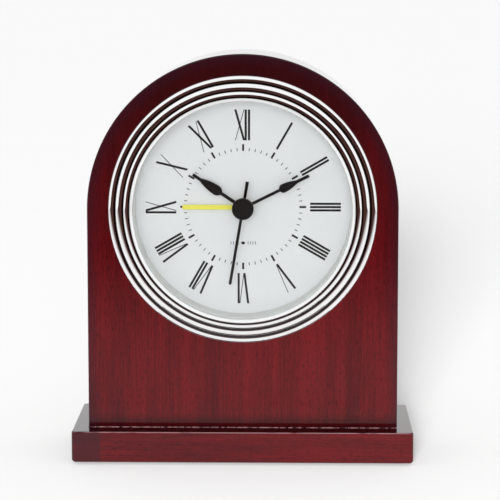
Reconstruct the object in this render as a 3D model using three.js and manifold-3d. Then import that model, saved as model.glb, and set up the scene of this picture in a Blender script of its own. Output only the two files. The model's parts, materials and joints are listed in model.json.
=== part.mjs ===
// A mantel clock: an arched wooden case on a slab base, with a quartz alarm insert in a round bore.
// Millimetres, +Z up, the dial faces -Y and +X is to its right as it is read.
// The origin is on the table, under the middle of the base.
import * as THREE from "three";
import { mergeVertices } from "three/addons/utils/BufferGeometryUtils.js";
import Module from "manifold-3d";

const wasm = await Module();
wasm.setup();

// ---------------------------------------------------------------- driving sizes

// Wood
const CASE_WIDTH = 119.4;
const SIDE_LEDGE = 6; // how far the base stands out past each side of the case
const FRONT_LEDGE = 8.2;
const BACK_LEDGE = 5;
const BASE_DEPTH = 50;
const BASE_THICK = 12.2;
const BASE_CORNER = 1.6; // radius of the base's corners in plan
const DIAL_HEIGHT = 84.8; // dial centre above the top of the base
const FOOT_THICK = 0.8;
const FOOT_RADIUS = 6;
const FOOT_INSET = 11; // foot centre in from the base's edges
const BASE_SCREW_RADIUS = 1.8;
const BASE_SCREW_HEAD = 3.6;
const BASE_SCREW_GRIP = 13; // how far a base screw runs into the case
const BASE_SCREW_INSET = 15; // in from each side of the case

// Insert: everything round is set out from the inside of its can
const CAN_RADIUS = 42.8;
const CAN_WALL = 1.5;
const GASKET_THICK = 1.1;
const GASKET_FRONT = 4;
const GASKET_WIDTH = 10;
const BEZEL_FLANGE = 7.2; // how far the bezel reaches past the can's outside
const BEZEL_HEIGHT = 4.1;
const BEZEL_STEPS = [2.1, 3.2, 2.6]; // widths of the three steps, from the outside in
const BEZEL_FOOT = 0.3; // height of the outside edge
const FLANK_SLOPE = 68; // degrees at the outside of a step
const CREST_SLOPE = 20; // degrees at its inside, where it has begun to fall
const LIP_LAND = 0.3; // from the last step in to the bezel's highest ring
const LIP_FALL = 0.9; // how far it has fallen at the opening
const CRYSTAL_THICK = 1.5;
const CRYSTAL_SEAT = 0.8; // how far the crystal's edge laps the can's wall
const DIAL_RECESS = 10; // dial face behind the front of the case
const DIAL_THICK = 0.5;
const SPACER_WALL = 1;
const RAIL_RADIUS = 3;
const RAIL_SINK = 0.5; // how far each rail is sunk in the can's wall
const INSERT_DEPTH = 36.4; // back of the rear cover behind the front of the case
const COVER_THICK = 1.6;
const COVER_SCREW_RADIUS = 1.1;
const COVER_SCREW_HEAD = 2.3;
const COVER_SCREW_HEAD_THICK = 1.2;
const COVER_SCREW_LENGTH = 7;

// Clearances
const SEAT = 0.05; // between faces that rest on each other
const PRESS = 0.12; // round a shaft that its bore grips
const RUN = 0.2; // round a shaft that turns in its bore
const SLIDE = 0.35; // round a piece that slides or lifts out

// Nested tubes under the hands, from the middle out
const SECONDS_ARBOR = 0.5;
const MINUTE_WALL = 0.5;
const HOUR_WALL = 0.45;
const ALARM_WALL = 0.45;
const PIVOT = 0.6; // radius of the other arbors

// Movement: depths behind the back of the dial
const FRONT_PLATE = [0.2, 1.5];
const ALARM_WHEEL = [2, 3];
const HOUR_WHEEL = [3.6, 4.6];
const MOTION_PINION = [3.4, 5.5];
const MOTION_WHEEL = [5.5, 6.5];
const CANNON_PINION = [5.3, 6.7];
const MIDDLE_PLATE = [7.1, 8.1];
const CENTRE_WHEEL = [8.7, 9.7];
const THIRD_PINION = [8.5, 9.9];
const THIRD_WHEEL = [10.7, 11.7];
const SECONDS_PINION = [10.5, 11.9];
const SECONDS_WHEEL = [12.7, 13.7];
const INTERMEDIATE_PINION = [12.5, 13.9];
const INTERMEDIATE_WHEEL = [14.7, 15.7];
const ROTOR_PINION = [14.5, 15.9];
const ROTOR_MAGNET = [10, 12.8];
const STATOR = [10.6, 12.2];
const REAR_PLATE = [16.5, 17.7];
const BOARD = [18.7, 19.7];
const SET_PINION = [1.8, 3.2];

// Teeth, and how far apart the meshing arbors stand
const TEETH = {
  cannon: 10,
  motion: 30,
  motionPinion: 8,
  hour: 32,
  centre: 48,
  thirdPinion: 6,
  third: 45,
  secondsPinion: 6,
  seconds: 30,
  intermediatePinion: 6,
  intermediate: 36,
  rotor: 6,
  timeSet: 10,
  alarm: 30,
  alarmSet: 12,
};
const MOTION_REACH = 9;
const MOTION_ANGLE = 60; // degrees anticlockwise from +X, seen from the front
const SET_SHAFT_GAP = 1.62; // between the time setting shaft and the third wheel's teeth
const THIRD_REACH = 11.5;
const INTERMEDIATE_REACH = 9;
const INTERMEDIATE_ANGLE = 120;
const ROTOR_REACH = 9;
const ROTOR_ANGLE = 120;
const ALARM_REACH = 15;
const ALARM_SET_ANGLE = 190;
const ADDENDUM = 0.7; // tooth above the pitch circle, in modules
const DEDENDUM = 1;
const TIP_SHARE = 0.09; // half a tooth's width at its tip, in pitches
const ROOT_SHARE = 0.2;

// Plates, pillars and the pieces on them, as x and z from the dial centre
const PLATE_MARGIN = 1.2; // how far the plates reach out past their pillars
const MIDDLE_PLATE_TOP = 21;
const REAR_PLATE_TOP = 31;
const PLATE_CORNER = 5;
const PILLAR_RADIUS = 1.8;
const PILLAR_TOP = 17;
const PILLAR_RISE = 3.5; // the lower pillars above the bottom of the plates
const PILLAR_GAP = 0.24; // between a pillar and the third wheel's teeth
const PLATE_SCREW_RADIUS = 0.9;
const PLATE_SCREW_HEAD = 1.9;
const PLATE_SCREW_HEAD_THICK = 0.8;
const PLATE_SCREW_GRIP = 4;
const MAGNET_RADIUS = 3.2;
const STATOR_WIDTH = 30;
const STATOR_BOTTOM = 11;
const STATOR_BAR = 9; // height of the bar that holds the rotor
const STATOR_LEG = 4.5;
const COIL_Z = 27;
const COIL_LENGTH = 20;
const COIL_RADIUS = 3;
const COIL_FLANGE = 3.2;
const COIL_FLANGE_THICK = 1;
const CORE_HALF = [0.9, 1.5]; // half its depth and half its height
const SLEEVE_WALL = 0.6;
const BOARD_BOX = [-28, 2, 34, 28]; // left, bottom, width, height
const CHIP_AT = [-14, 20];
const CHIP_SIZE = 8;
const CHIP_THICK = 1.5;
const QUARTZ_AT = [-3, 8];
const QUARTZ_RADIUS = 1.5;
const QUARTZ_LENGTH = 6.5;
const BUZZER_AT = [20, 24];
const BUZZER_RADIUS = 10;
const BUZZER_THICK = 1.6;
const SOUND_SLOT = [10, 1.2];
const SOUND_SLOT_PITCH = 4;
const STRIP_WIDTH = 2; // the alarm's contact strip, folded up from the board
const STRIP_THICK = 0.3;
const STRIP_RISE = 2;
const SET_SHAFT_RADIUS = 1.5;
const KNOB_RADIUS = 6.4;
const KNOB_HEIGHT = 4.2;
const SWITCH_AT = [-30.5, 4];
const SWITCH_TRAVEL = 4;
const SWITCH_STEM = [5, 3.4];
const SWITCH_FOOT = [9, 7];
const SWITCH_FOOT_THICK = 1.2;
const SWITCH_PROUD = 2.6;

// One AA cell, lying in a bay of the rear cover
const CELL_RADIUS = 7.25;
const CELL_LENGTH = 49.5;
const CELL_NUB = [2.75, 1];
const CELL_DEPTH = 15; // its axis behind the back of the dial
const CONTACT_ROOM = 3; // for the contact at each end
const CONTACT_THICK = 0.5;
const CONTACT_INSET = 1; // plate edges in from the cell's outside
const SPRING_CONE = [2.5, 5]; // radii at the cell and at the plate
const BAY_WALL = 1.2;
const BAY_ROOM = 0.3;
const BAY_GAP = 1.25; // between the bay and the plates above it

// Hands: length, width of the arm, then the spade's start, widest place, end and width
const HAND_THICK = 0.4;
const MINUTE_HAND = {
  angle: 63.5,
  length: 28.4,
  arm: 1.15,
  start: 15.8,
  widest: 17.3,
  end: 23.1,
  width: 3.4,
};
const HOUR_HAND = {
  angle: 303.6,
  length: 23.25,
  arm: 1.3,
  start: 10.1,
  widest: 12.3,
  end: 19.7,
  width: 3.9,
};
const SPADE_TIP = 1.2;
const SECOND_HAND = { length: 30, width: 1.1, tail: 10.6, tailWidth: 1.3, hub: 4.2, angle: 189.6 };
const ALARM_HAND = { length: 23.5, width: 1.8, angle: 270 };
const HAND_STEP = 1.5; // from one hand to the next one behind it
const SECOND_HUB_THICK = 2;
const HAND_COLLAR = 0.9; // wall of the ring that grips a hand's tube

const ROUND = 48; // facets of the large round pieces
const SMALL = 16;

// ---------------------------------------------------------------- worked out from them

const BASE_WIDTH = CASE_WIDTH + 2 * SIDE_LEDGE;
const CASE_DEPTH = BASE_DEPTH - FRONT_LEDGE - BACK_LEDGE;
const CASE_FRONT = FRONT_LEDGE - BASE_DEPTH / 2;
const BASE_TOP = FOOT_THICK + BASE_THICK;
const CAN_OUTSIDE = CAN_RADIUS + CAN_WALL;
const BORE_RADIUS = CAN_OUTSIDE + GASKET_THICK + 2 * SEAT;
const DIAL_BACK = DIAL_RECESS + DIAL_THICK;
const COVER_FRONT = INSERT_DEPTH - COVER_THICK;
const MINUTE_BORE = SECONDS_ARBOR + RUN;
const MINUTE_TUBE = MINUTE_BORE + MINUTE_WALL;
const HOUR_BORE = MINUTE_TUBE + RUN;
const HOUR_TUBE = HOUR_BORE + HOUR_WALL;
const ALARM_BORE = HOUR_TUBE + RUN;
const ALARM_TUBE = ALARM_BORE + ALARM_WALL;
const CENTRE_HOLE = ALARM_TUBE + RUN;
const RAIL_REACH = CAN_RADIUS + RAIL_SINK - RAIL_RADIUS;
const BAY_HALF_LENGTH = CELL_LENGTH / 2 + CONTACT_ROOM + BAY_ROOM;
const BAY_HALF_HEIGHT = CELL_RADIUS + BAY_ROOM;
const BAY_FLOOR = DIAL_BACK + CELL_DEPTH - CELL_RADIUS - BAY_ROOM;
const ALARM_HAND_DEPTH = DIAL_RECESS - HAND_STEP;
const HOUR_HAND_DEPTH = ALARM_HAND_DEPTH - HAND_STEP;
const MINUTE_HAND_DEPTH = HOUR_HAND_DEPTH - HAND_STEP;
const SECOND_HAND_DEPTH = MINUTE_HAND_DEPTH - HAND_STEP;

// x and z of a point that lies a distance and an angle away from another
function away(from, reach, degrees) {
  const angle = THREE.MathUtils.degToRad(degrees);
  return [from[0] + reach * Math.cos(angle), from[1] + reach * Math.sin(angle)];
}

// The direction in degrees in which a point stands its reach from one place and its clearance from
// another, on the anticlockwise side of the line between the two.
function angleBeside(from, reach, other, clearance) {
  const [dx, dz] = [other[0] - from[0], other[1] - from[1]];
  const apart = Math.hypot(dx, dz);
  const turn = Math.acos((apart ** 2 + reach ** 2 - clearance ** 2) / (2 * apart * reach));
  return THREE.MathUtils.radToDeg(Math.atan2(dz, dx) + turn);
}

const CENTRE = [0, 0];
const THIRD = away(CENTRE, THIRD_REACH, 0);
const INTERMEDIATE = away(CENTRE, INTERMEDIATE_REACH, INTERMEDIATE_ANGLE);
const ROTOR = away(INTERMEDIATE, ROTOR_REACH, ROTOR_ANGLE);
const MOTION = away(CENTRE, MOTION_REACH, MOTION_ANGLE);
const MOTION_MODULE = (2 * MOTION_REACH) / (TEETH.cannon + TEETH.motion);
const HOUR_MODULE = (2 * MOTION_REACH) / (TEETH.motionPinion + TEETH.hour);
const CENTRE_MODULE = (2 * THIRD_REACH) / (TEETH.centre + TEETH.thirdPinion);
const THIRD_MODULE = (2 * THIRD_REACH) / (TEETH.third + TEETH.secondsPinion);
const SECONDS_MODULE = (2 * INTERMEDIATE_REACH) / (TEETH.seconds + TEETH.intermediatePinion);
const ROTOR_MODULE = (2 * ROTOR_REACH) / (TEETH.intermediate + TEETH.rotor);
const ALARM_MODULE = (2 * ALARM_REACH) / (TEETH.alarm + TEETH.alarmSet);
const TIME_SET_REACH = (MOTION_MODULE * (TEETH.motion + TEETH.timeSet)) / 2;
const THIRD_TIP = THIRD_MODULE * (TEETH.third / 2 + ADDENDUM);
const TIME_SET_CLEAR = THIRD_TIP + SET_SHAFT_GAP + SET_SHAFT_RADIUS;
const TIME_SET_ANGLE = angleBeside(MOTION, TIME_SET_REACH, THIRD, TIME_SET_CLEAR);
const TIME_SET = away(MOTION, TIME_SET_REACH, TIME_SET_ANGLE);
const ALARM_SET = away(CENTRE, ALARM_REACH, ALARM_SET_ANGLE);

// The cell's bay lies midway between the third wheel's teeth and the can's wall. Its corners come
// nearest to the wall, so the room for it ends where a corner would touch.
const BAY_LOWEST = Math.sqrt((CAN_RADIUS - SEAT) ** 2 - (BAY_HALF_LENGTH + BAY_WALL) ** 2);
const CELL_Z = -(THIRD_TIP + SLIDE + BAY_LOWEST) / 2;
const PLATE_BOTTOM = CELL_Z + BAY_HALF_HEIGHT + BAY_WALL + BAY_GAP;
const PILLAR_SIDE = THIRD_REACH + THIRD_TIP + PILLAR_GAP + PILLAR_RADIUS;
const PLATE_SIDE = PILLAR_SIDE + PILLAR_RADIUS + PLATE_MARGIN;
const PILLARS = [
  [PILLAR_SIDE, PILLAR_TOP],
  [PILLAR_SIDE, PLATE_BOTTOM + PILLAR_RISE],
  [-PILLAR_SIDE, PLATE_BOTTOM + PILLAR_RISE],
];

// ---------------------------------------------------------------- geometry helpers

// A closed geometry as a manifold solid, without the slivers that a lathe leaves on its axis.
function solid(geometry) {
  const bare = geometry.index ? geometry.toNonIndexed() : geometry.clone();
  bare.deleteAttribute("normal");
  bare.deleteAttribute("uv");
  const merged = mergeVertices(bare, 1e-4);
  const corners = merged.index.array;
  const kept = [];
  for (let i = 0; i < corners.length; i += 3) {
    const [a, b, c] = corners.slice(i, i + 3);
    if (a !== b && b !== c && c !== a) kept.push(a, b, c);
  }
  return new wasm.Manifold(
    new wasm.Mesh({
      numProp: 3,
      vertProperties: merged.attributes.position.array,
      triVerts: new Uint32Array(kept),
    }),
  );
}

function geometryOf(body) {
  const mesh = body.getMesh();
  const geometry = new THREE.BufferGeometry();
  geometry.setAttribute("position", new THREE.BufferAttribute(new Float32Array(mesh.vertProperties), 3));
  geometry.setIndex(new THREE.BufferAttribute(new Uint32Array(mesh.triVerts), 1));
  geometry.computeVertexNormals();
  return geometry;
}

function join(first, ...others) {
  return geometryOf(others.reduce((body, other) => body.add(solid(other)), solid(first)));
}

function common(first, second) {
  return geometryOf(solid(first).intersect(solid(second)));
}

function cut(first, ...tools) {
  return geometryOf(tools.reduce((body, tool) => body.subtract(solid(tool)), solid(first)));
}

// A body of revolution about Y. The profile is [radius, depth] points; its sense is put right here.
function turned(profile, facets = ROUND) {
  const closed = [...profile, profile[0]];
  const area = profile.reduce((sum, [r, y], i) => sum + r * closed[i + 1][1] - closed[i + 1][0] * y, 0);
  const points = (area > 0 ? closed : closed.reverse()).map(([r, y]) => new THREE.Vector2(r, y));
  return new THREE.LatheGeometry(points, facets);
}

function tube(inner, outer, front, back, facets = ROUND) {
  return turned(
    [
      [inner, front],
      [outer, front],
      [outer, back],
      [inner, back],
    ],
    facets,
  );
}

// A rod along Y between two depths, at [x, z].
function rod(radius, front, back, [x, z] = CENTRE, facets = SMALL) {
  const geometry = new THREE.CylinderGeometry(radius, radius, back - front, facets);
  return geometry.translate(x, (front + back) / 2, z);
}

// A rod along X between two places, at [depth, z].
function rodAlongX(radius, left, right, [depth, z], facets = SMALL) {
  const geometry = new THREE.CylinderGeometry(radius, radius, right - left, facets);
  return geometry.rotateZ(-Math.PI / 2).translate((left + right) / 2, depth, z);
}

// An outline in X and Z, carried along Y between two depths.
function slab(outline, front, back, steps = SMALL / 2) {
  const geometry = new THREE.ExtrudeGeometry(outline, {
    depth: back - front,
    bevelEnabled: false,
    curveSegments: steps,
  });
  return geometry.rotateX(Math.PI / 2).translate(0, back, 0);
}

// A box by its ranges along X, depth and Z.
function block([left, right], [front, back], [bottom, top]) {
  const geometry = new THREE.BoxGeometry(right - left, back - front, top - bottom);
  return geometry.translate((left + right) / 2, (front + back) / 2, (bottom + top) / 2);
}

function behindDial(range) {
  return range.map((depth) => DIAL_BACK + depth);
}

// Straight-sided teeth round a wheel. phase is where the middle of one tooth stands, in radians.
function gearOutline(teeth, module, phase) {
  const pitch = (2 * Math.PI) / teeth;
  const root = module * (teeth / 2 - DEDENDUM);
  const tip = module * (teeth / 2 + ADDENDUM);
  const points = [];
  for (let i = 0; i < teeth; i++) {
    const middle = phase + i * pitch;
    points.push(
      [root, middle - ROOT_SHARE * pitch],
      [tip, middle - TIP_SHARE * pitch],
      [tip, middle + TIP_SHARE * pitch],
      [root, middle + ROOT_SHARE * pitch],
    );
  }
  return new THREE.Shape(points.map(([r, a]) => new THREE.Vector2(r * Math.cos(a), r * Math.sin(a))));
}

function gear(teeth, module, range, phase = 0) {
  return slab(gearOutline(teeth, module, phase), ...behindDial(range));
}

// The phase at which a wheel's gap faces the other wheel's tooth, in the direction from the other to it.
function meshPhase(otherTeeth, otherPhase, degrees, teeth) {
  const direction = THREE.MathUtils.degToRad(degrees);
  const atOther = ((direction - otherPhase) * otherTeeth) / (2 * Math.PI);
  return direction + Math.PI - ((0.5 - atOther) * 2 * Math.PI) / teeth;
}

// ---------------------------------------------------------------- materials

function finish(color, roughness, metalness = 0) {
  return new THREE.MeshStandardMaterial({ color, roughness, metalness });
}

const MATERIALS = {
  wood: finish(0x5a1a1c, 0.12),
  felt: finish(0x1c2a22, 0.95),
  chrome: finish(0xd8dadc, 0.12, 1),
  steel: finish(0xa9adb0, 0.35, 1),
  brass: finish(0xb6924a, 0.35, 1),
  copper: finish(0xa8552c, 0.4, 1),
  glass: finish(0xeef4f4, 0.03),
  dial: finish(0xdfe3e3, 0.45, 0.3),
  white: finish(0xe8e9e6, 0.5),
  blackPaint: finish(0x101012, 0.4),
  yellowPaint: finish(0xe8e255, 0.45),
  blackPlastic: finish(0x1a1a1c, 0.5),
  rubber: finish(0x141414, 0.8),
  board: finish(0x2c5a34, 0.5),
  cellSleeve: finish(0x7a7f86, 0.35),
};

const clock = new THREE.Group();
const insert = new THREE.Group(); // its origin is the dial centre, on the front face of the case
insert.position.set(0, CASE_FRONT, BASE_TOP + DIAL_HEIGHT);
clock.add(insert);

function place(parent, name, geometry, material, [x, z] = CENTRE) {
  const mesh = new THREE.Mesh(geometry, MATERIALS[material]);
  mesh.name = name;
  mesh.position.set(x, 0, z);
  parent.add(mesh);
  return mesh;
}

// ---------------------------------------------------------------- wood, feet and base screws

function roundedRectangle(width, depth, radius) {
  const shape = new THREE.Shape();
  const x = width / 2 - radius;
  const y = depth / 2 - radius;
  shape.absarc(x, y, radius, 0, Math.PI / 2);
  shape.absarc(-x, y, radius, Math.PI / 2, Math.PI);
  shape.absarc(-x, -y, radius, Math.PI, 1.5 * Math.PI);
  shape.absarc(x, -y, radius, 1.5 * Math.PI, 2 * Math.PI);
  shape.closePath();
  return shape;
}

// A rod along Z between two heights.
function post(radius, bottom, top, x, y) {
  const geometry = new THREE.CylinderGeometry(radius, radius, top - bottom, SMALL);
  return geometry.rotateX(Math.PI / 2).translate(x, y, (bottom + top) / 2);
}

// A screw along Z: a countersunk head that narrows to the shank over its own height.
function countersunkScrew(radius, head, bottom, top, x, y) {
  const cone = new THREE.CylinderGeometry(radius, head, head - radius, SMALL);
  cone.rotateX(Math.PI / 2).translate(x, y, bottom + (head - radius) / 2);
  return join(cone, post(radius, bottom + (head - radius) / 2, top, x, y));
}

function makeWood() {
  const halfWidth = CASE_WIDTH / 2;
  const arch = new THREE.Shape();
  arch.moveTo(-halfWidth, -DIAL_HEIGHT);
  arch.lineTo(halfWidth, -DIAL_HEIGHT);
  arch.absarc(0, 0, halfWidth, 0, Math.PI);
  arch.closePath();
  const bore = new THREE.Path();
  bore.absarc(0, 0, BORE_RADIUS, 0, 2 * Math.PI);
  arch.holes.push(bore);
  const caseBlock = slab(arch, 0, CASE_DEPTH, ROUND / 2).translate(0, CASE_FRONT, BASE_TOP + DIAL_HEIGHT);
  const board = new THREE.ExtrudeGeometry(roundedRectangle(BASE_WIDTH, BASE_DEPTH, BASE_CORNER), {
    depth: BASE_THICK - SEAT,
    bevelEnabled: false,
    curveSegments: 3,
  }).translate(0, 0, FOOT_THICK);

  const screwX = halfWidth - BASE_SCREW_INSET;
  const screwY = CASE_FRONT + CASE_DEPTH / 2;
  const screwBottom = FOOT_THICK + SEAT;
  const holes = [-screwX, screwX].map((x) =>
    countersunkScrew(
      BASE_SCREW_RADIUS + RUN,
      BASE_SCREW_HEAD + RUN,
      screwBottom - 2 * SEAT,
      BASE_TOP + BASE_SCREW_GRIP + 1,
      x,
      screwY,
    ),
  );
  place(clock, "case_body", cut(caseBlock, ...holes), "wood");
  place(clock, "base_board", cut(board, ...holes), "wood");
  [-screwX, screwX].forEach((x, i) => {
    const top = BASE_TOP + BASE_SCREW_GRIP;
    const screw = countersunkScrew(BASE_SCREW_RADIUS, BASE_SCREW_HEAD, screwBottom, top, x, screwY);
    place(clock, `base_screw_${i + 1}`, screw, "steel");
  });

  const footX = BASE_WIDTH / 2 - FOOT_INSET;
  const footY = BASE_DEPTH / 2 - FOOT_INSET;
  const corners = [
    [-footX, -footY],
    [footX, -footY],
    [-footX, footY],
    [footX, footY],
  ];
  corners.forEach(([x, y], i) => {
    place(clock, `felt_foot_${i + 1}`, post(FOOT_RADIUS, 0, FOOT_THICK - SEAT / 2, x, y), "felt");
  });
}

// ---------------------------------------------------------------- bezel, glass, dial and can

// Three steps rise towards the glass. Each is one arc, from the flank's slope over to the crest's, and
// stands on the inner end of the one before it. A lip slopes back in to the opening round the glass.
function bezelProfile() {
  const rebate = CAN_OUTSIDE - CRYSTAL_SEAT / 2 - SEAT;
  const opening = CAN_RADIUS - CRYSTAL_SEAT;
  const [flank, crest] = [FLANK_SLOPE, CREST_SLOPE].map(THREE.MathUtils.degToRad);
  let edge = CAN_OUTSIDE + BEZEL_FLANGE;
  let foot = BEZEL_FOOT;
  const profile = [[edge, -SEAT]];
  for (const width of BEZEL_STEPS) {
    const radius = width / (Math.sin(flank) + Math.sin(crest));
    for (const share of [0, 0.25, 0.5, 0.75, 1]) {
      const slope = THREE.MathUtils.lerp(flank, -crest, share);
      const across = radius * (Math.sin(flank) - Math.sin(slope));
      profile.push([edge - across, -foot - radius * (Math.cos(slope) - Math.cos(flank))]);
    }
    [edge, foot] = [profile.at(-1)[0], -profile.at(-1)[1]];
  }
  profile.push([edge - LIP_LAND, -BEZEL_HEIGHT]);
  profile.push([opening, LIP_FALL - BEZEL_HEIGHT]);
  profile.push([opening, -CRYSTAL_THICK - 4 * SEAT]);
  profile.push([rebate, -CRYSTAL_THICK - 4 * SEAT]);
  profile.push([rebate, -SEAT]);
  return profile;
}

function makeInsertShell() {
  place(insert, "bezel_ring", turned(bezelProfile()), "chrome");
  const crystalRadius = CAN_RADIUS + CRYSTAL_SEAT;
  const crystal = rod(crystalRadius, -CRYSTAL_THICK - 2 * SEAT, -2 * SEAT, CENTRE, ROUND);
  place(insert, "crystal", crystal, "glass");
  const spacerOutside = CAN_RADIUS - 2 * SEAT;
  const spacer = tube(spacerOutside - SPACER_WALL, spacerOutside, 4 * SEAT, DIAL_RECESS - SEAT);
  place(insert, "spacer_ring", spacer, "white");
  place(insert, "dial", tube(CENTRE_HOLE, spacerOutside, DIAL_RECESS, DIAL_BACK), "dial");

  const railFront = DIAL_BACK + FRONT_PLATE[1] + SEAT;
  const railBack = COVER_FRONT - 2 * SEAT;
  const rails = railPlaces().map((at) => rod(RAIL_RADIUS, railFront, railBack, at));
  const shell = tube(CAN_RADIUS, CAN_OUTSIDE, 0, railBack);
  const screwHoles = railPlaces().map((at) =>
    rod(COVER_SCREW_RADIUS + PRESS, INSERT_DEPTH - COVER_SCREW_LENGTH - 1, INSERT_DEPTH, at),
  );
  place(insert, "insert_can", cut(join(shell, ...rails), ...screwHoles), "steel");
  const gasket = tube(
    CAN_OUTSIDE + SEAT,
    CAN_OUTSIDE + SEAT + GASKET_THICK,
    GASKET_FRONT,
    GASKET_FRONT + GASKET_WIDTH,
  );
  place(insert, "can_gasket", gasket, "rubber");
}

// Where the rails that clamp the plates and take the cover's screws stand in the can.
function railPlaces() {
  return [30, 150, 270].map((degrees) => away(CENTRE, RAIL_REACH, degrees));
}

// ---------------------------------------------------------------- hands

// A spade: a straight arm, a leaf that swells and narrows in two curves a side, and a bar for a tip.
function spadeShape({ length, arm, start, widest, end, width }) {
  const shape = new THREE.Shape();
  const shoulder = start + (widest - start) / 3;
  const waist = widest + (end - widest) / 2;
  shape.moveTo(-arm / 2, 0);
  shape.lineTo(arm / 2, 0);
  shape.lineTo(arm / 2, start);
  shape.quadraticCurveTo(width / 2, shoulder, width / 2, widest);
  shape.quadraticCurveTo(width / 2, waist, SPADE_TIP / 2, end);
  shape.lineTo(SPADE_TIP / 2, length);
  shape.lineTo(-SPADE_TIP / 2, length);
  shape.lineTo(-SPADE_TIP / 2, end);
  shape.quadraticCurveTo(-width / 2, waist, -width / 2, widest);
  shape.quadraticCurveTo(-width / 2, shoulder, -arm / 2, start);
  return shape;
}

function barShape(width, from, to) {
  const shape = new THREE.Shape();
  shape.moveTo(-width / 2, from);
  shape.lineTo(width / 2, from);
  shape.lineTo(width / 2, to);
  shape.lineTo(-width / 2, to);
  return shape;
}

// A hand on its tube: the blade and a round collar, with the bore through both.
function handOn(tubeRadius, shape, depth) {
  const back = depth + HAND_THICK;
  const collar = rod(tubeRadius + HAND_COLLAR, depth, back);
  const bore = rod(tubeRadius + PRESS, depth - 1, back + 1);
  return cut(join(slab(shape, depth, back, 4), collar), bore);
}

function addHand(name, geometry, material, degrees) {
  place(insert, name, geometry, material).rotation.y = THREE.MathUtils.degToRad(degrees);
}

function makeHands() {
  const minute = handOn(MINUTE_TUBE, spadeShape(MINUTE_HAND), MINUTE_HAND_DEPTH);
  addHand("minute_hand", minute, "blackPaint", MINUTE_HAND.angle);
  const hour = handOn(HOUR_TUBE, spadeShape(HOUR_HAND), HOUR_HAND_DEPTH);
  addHand("hour_hand", hour, "blackPaint", HOUR_HAND.angle);
  const alarmBar = barShape(ALARM_HAND.width, 0, ALARM_HAND.length);
  addHand("alarm_hand", handOn(ALARM_TUBE, alarmBar, ALARM_HAND_DEPTH), "yellowPaint", ALARM_HAND.angle);

  // The second hand has a cap on its front, and a collet behind that grips the arbor.
  const front = SECOND_HAND_DEPTH;
  const back = front + HAND_THICK;
  const tail = slab(barShape(SECOND_HAND.tailWidth, -SECOND_HAND.tail, 0), front, back);
  const blade = slab(barShape(SECOND_HAND.width, 0, SECOND_HAND.length), front, back);
  const cap = rod(SECOND_HAND.hub, back - SECOND_HUB_THICK, back, CENTRE, 2 * SMALL);
  const collet = rod(MINUTE_TUBE, back - HAND_THICK / 2, back + HAND_STEP / 3);
  const bore = rod(SECONDS_ARBOR + PRESS, back - HAND_THICK, back + HAND_STEP);
  const second = cut(join(cap, tail, blade, collet), bore);
  addHand("second_hand", second, "blackPaint", SECOND_HAND.angle);
}

// ---------------------------------------------------------------- plates and pillars

function plateShape(top) {
  const shape = new THREE.Shape();
  shape.moveTo(-PLATE_SIDE, PLATE_BOTTOM);
  shape.lineTo(PLATE_SIDE, PLATE_BOTTOM);
  shape.lineTo(PLATE_SIDE, top - PLATE_CORNER);
  shape.lineTo(PLATE_SIDE - PLATE_CORNER, top);
  shape.lineTo(PLATE_CORNER - PLATE_SIDE, top);
  shape.lineTo(-PLATE_SIDE, top - PLATE_CORNER);
  return shape;
}

function drill(radius, range, at) {
  const [front, back] = behindDial(range);
  return rod(radius, front - 1, back + 1, at, at === CENTRE ? SMALL : 8);
}

function makePlates() {
  const pivotHole = PIVOT + RUN;
  const shaftHole = SET_SHAFT_RADIUS + RUN;
  const frontDisc = rod(CAN_RADIUS - 2 * SEAT, ...behindDial(FRONT_PLATE), CENTRE, ROUND);
  place(insert, "front_plate", cut(frontDisc, drill(CENTRE_HOLE, FRONT_PLATE, CENTRE)), "brass");

  const stud = rod(PIVOT, DIAL_BACK + MOTION_PINION[0], DIAL_BACK + MIDDLE_PLATE[0] + 0.5, MOTION, 8);
  const middle = cut(
    slab(plateShape(MIDDLE_PLATE_TOP), ...behindDial(MIDDLE_PLATE)),
    drill(MINUTE_TUBE + RUN, MIDDLE_PLATE, CENTRE),
    drill(pivotHole, MIDDLE_PLATE, THIRD),
    drill(shaftHole, MIDDLE_PLATE, TIME_SET),
    drill(shaftHole, MIDDLE_PLATE, ALARM_SET),
    ...PILLARS.map((at) => drill(PILLAR_RADIUS + PRESS, MIDDLE_PLATE, at)),
  );
  place(insert, "middle_plate", join(middle, stud), "brass");

  const rear = cut(
    slab(plateShape(REAR_PLATE_TOP), ...behindDial(REAR_PLATE)),
    drill(SECONDS_ARBOR + RUN, REAR_PLATE, CENTRE),
    drill(pivotHole, REAR_PLATE, THIRD),
    drill(pivotHole, REAR_PLATE, INTERMEDIATE),
    drill(pivotHole, REAR_PLATE, ROTOR),
    drill(shaftHole, REAR_PLATE, TIME_SET),
    drill(shaftHole, REAR_PLATE, ALARM_SET),
    ...PILLARS.map((at) => drill(PLATE_SCREW_RADIUS + PRESS, REAR_PLATE, at)),
  );
  place(insert, "rear_plate", rear, "brass");

  const pillarFront = DIAL_BACK + FRONT_PLATE[1] + SEAT;
  const [rearFront, rearBack] = behindDial(REAR_PLATE);
  const grip = rearFront - PLATE_SCREW_GRIP;
  PILLARS.forEach((at, i) => {
    const pillar = rod(PILLAR_RADIUS, pillarFront, rearFront - SEAT, at, 12);
    const thread = rod(PLATE_SCREW_RADIUS + PRESS, grip - 1, rearBack, at, 8);
    place(insert, `pillar_${i + 1}`, cut(pillar, thread), "brass");
    const shank = rod(PLATE_SCREW_RADIUS, grip, rearBack + PLATE_SCREW_HEAD_THICK, at, 8);
    const head = rod(PLATE_SCREW_HEAD, rearBack + SEAT, rearBack + PLATE_SCREW_HEAD_THICK, at, 12);
    place(insert, `plate_screw_${i + 1}`, join(shank, head), "steel");
  });
}

// ---------------------------------------------------------------- wheels

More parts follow.
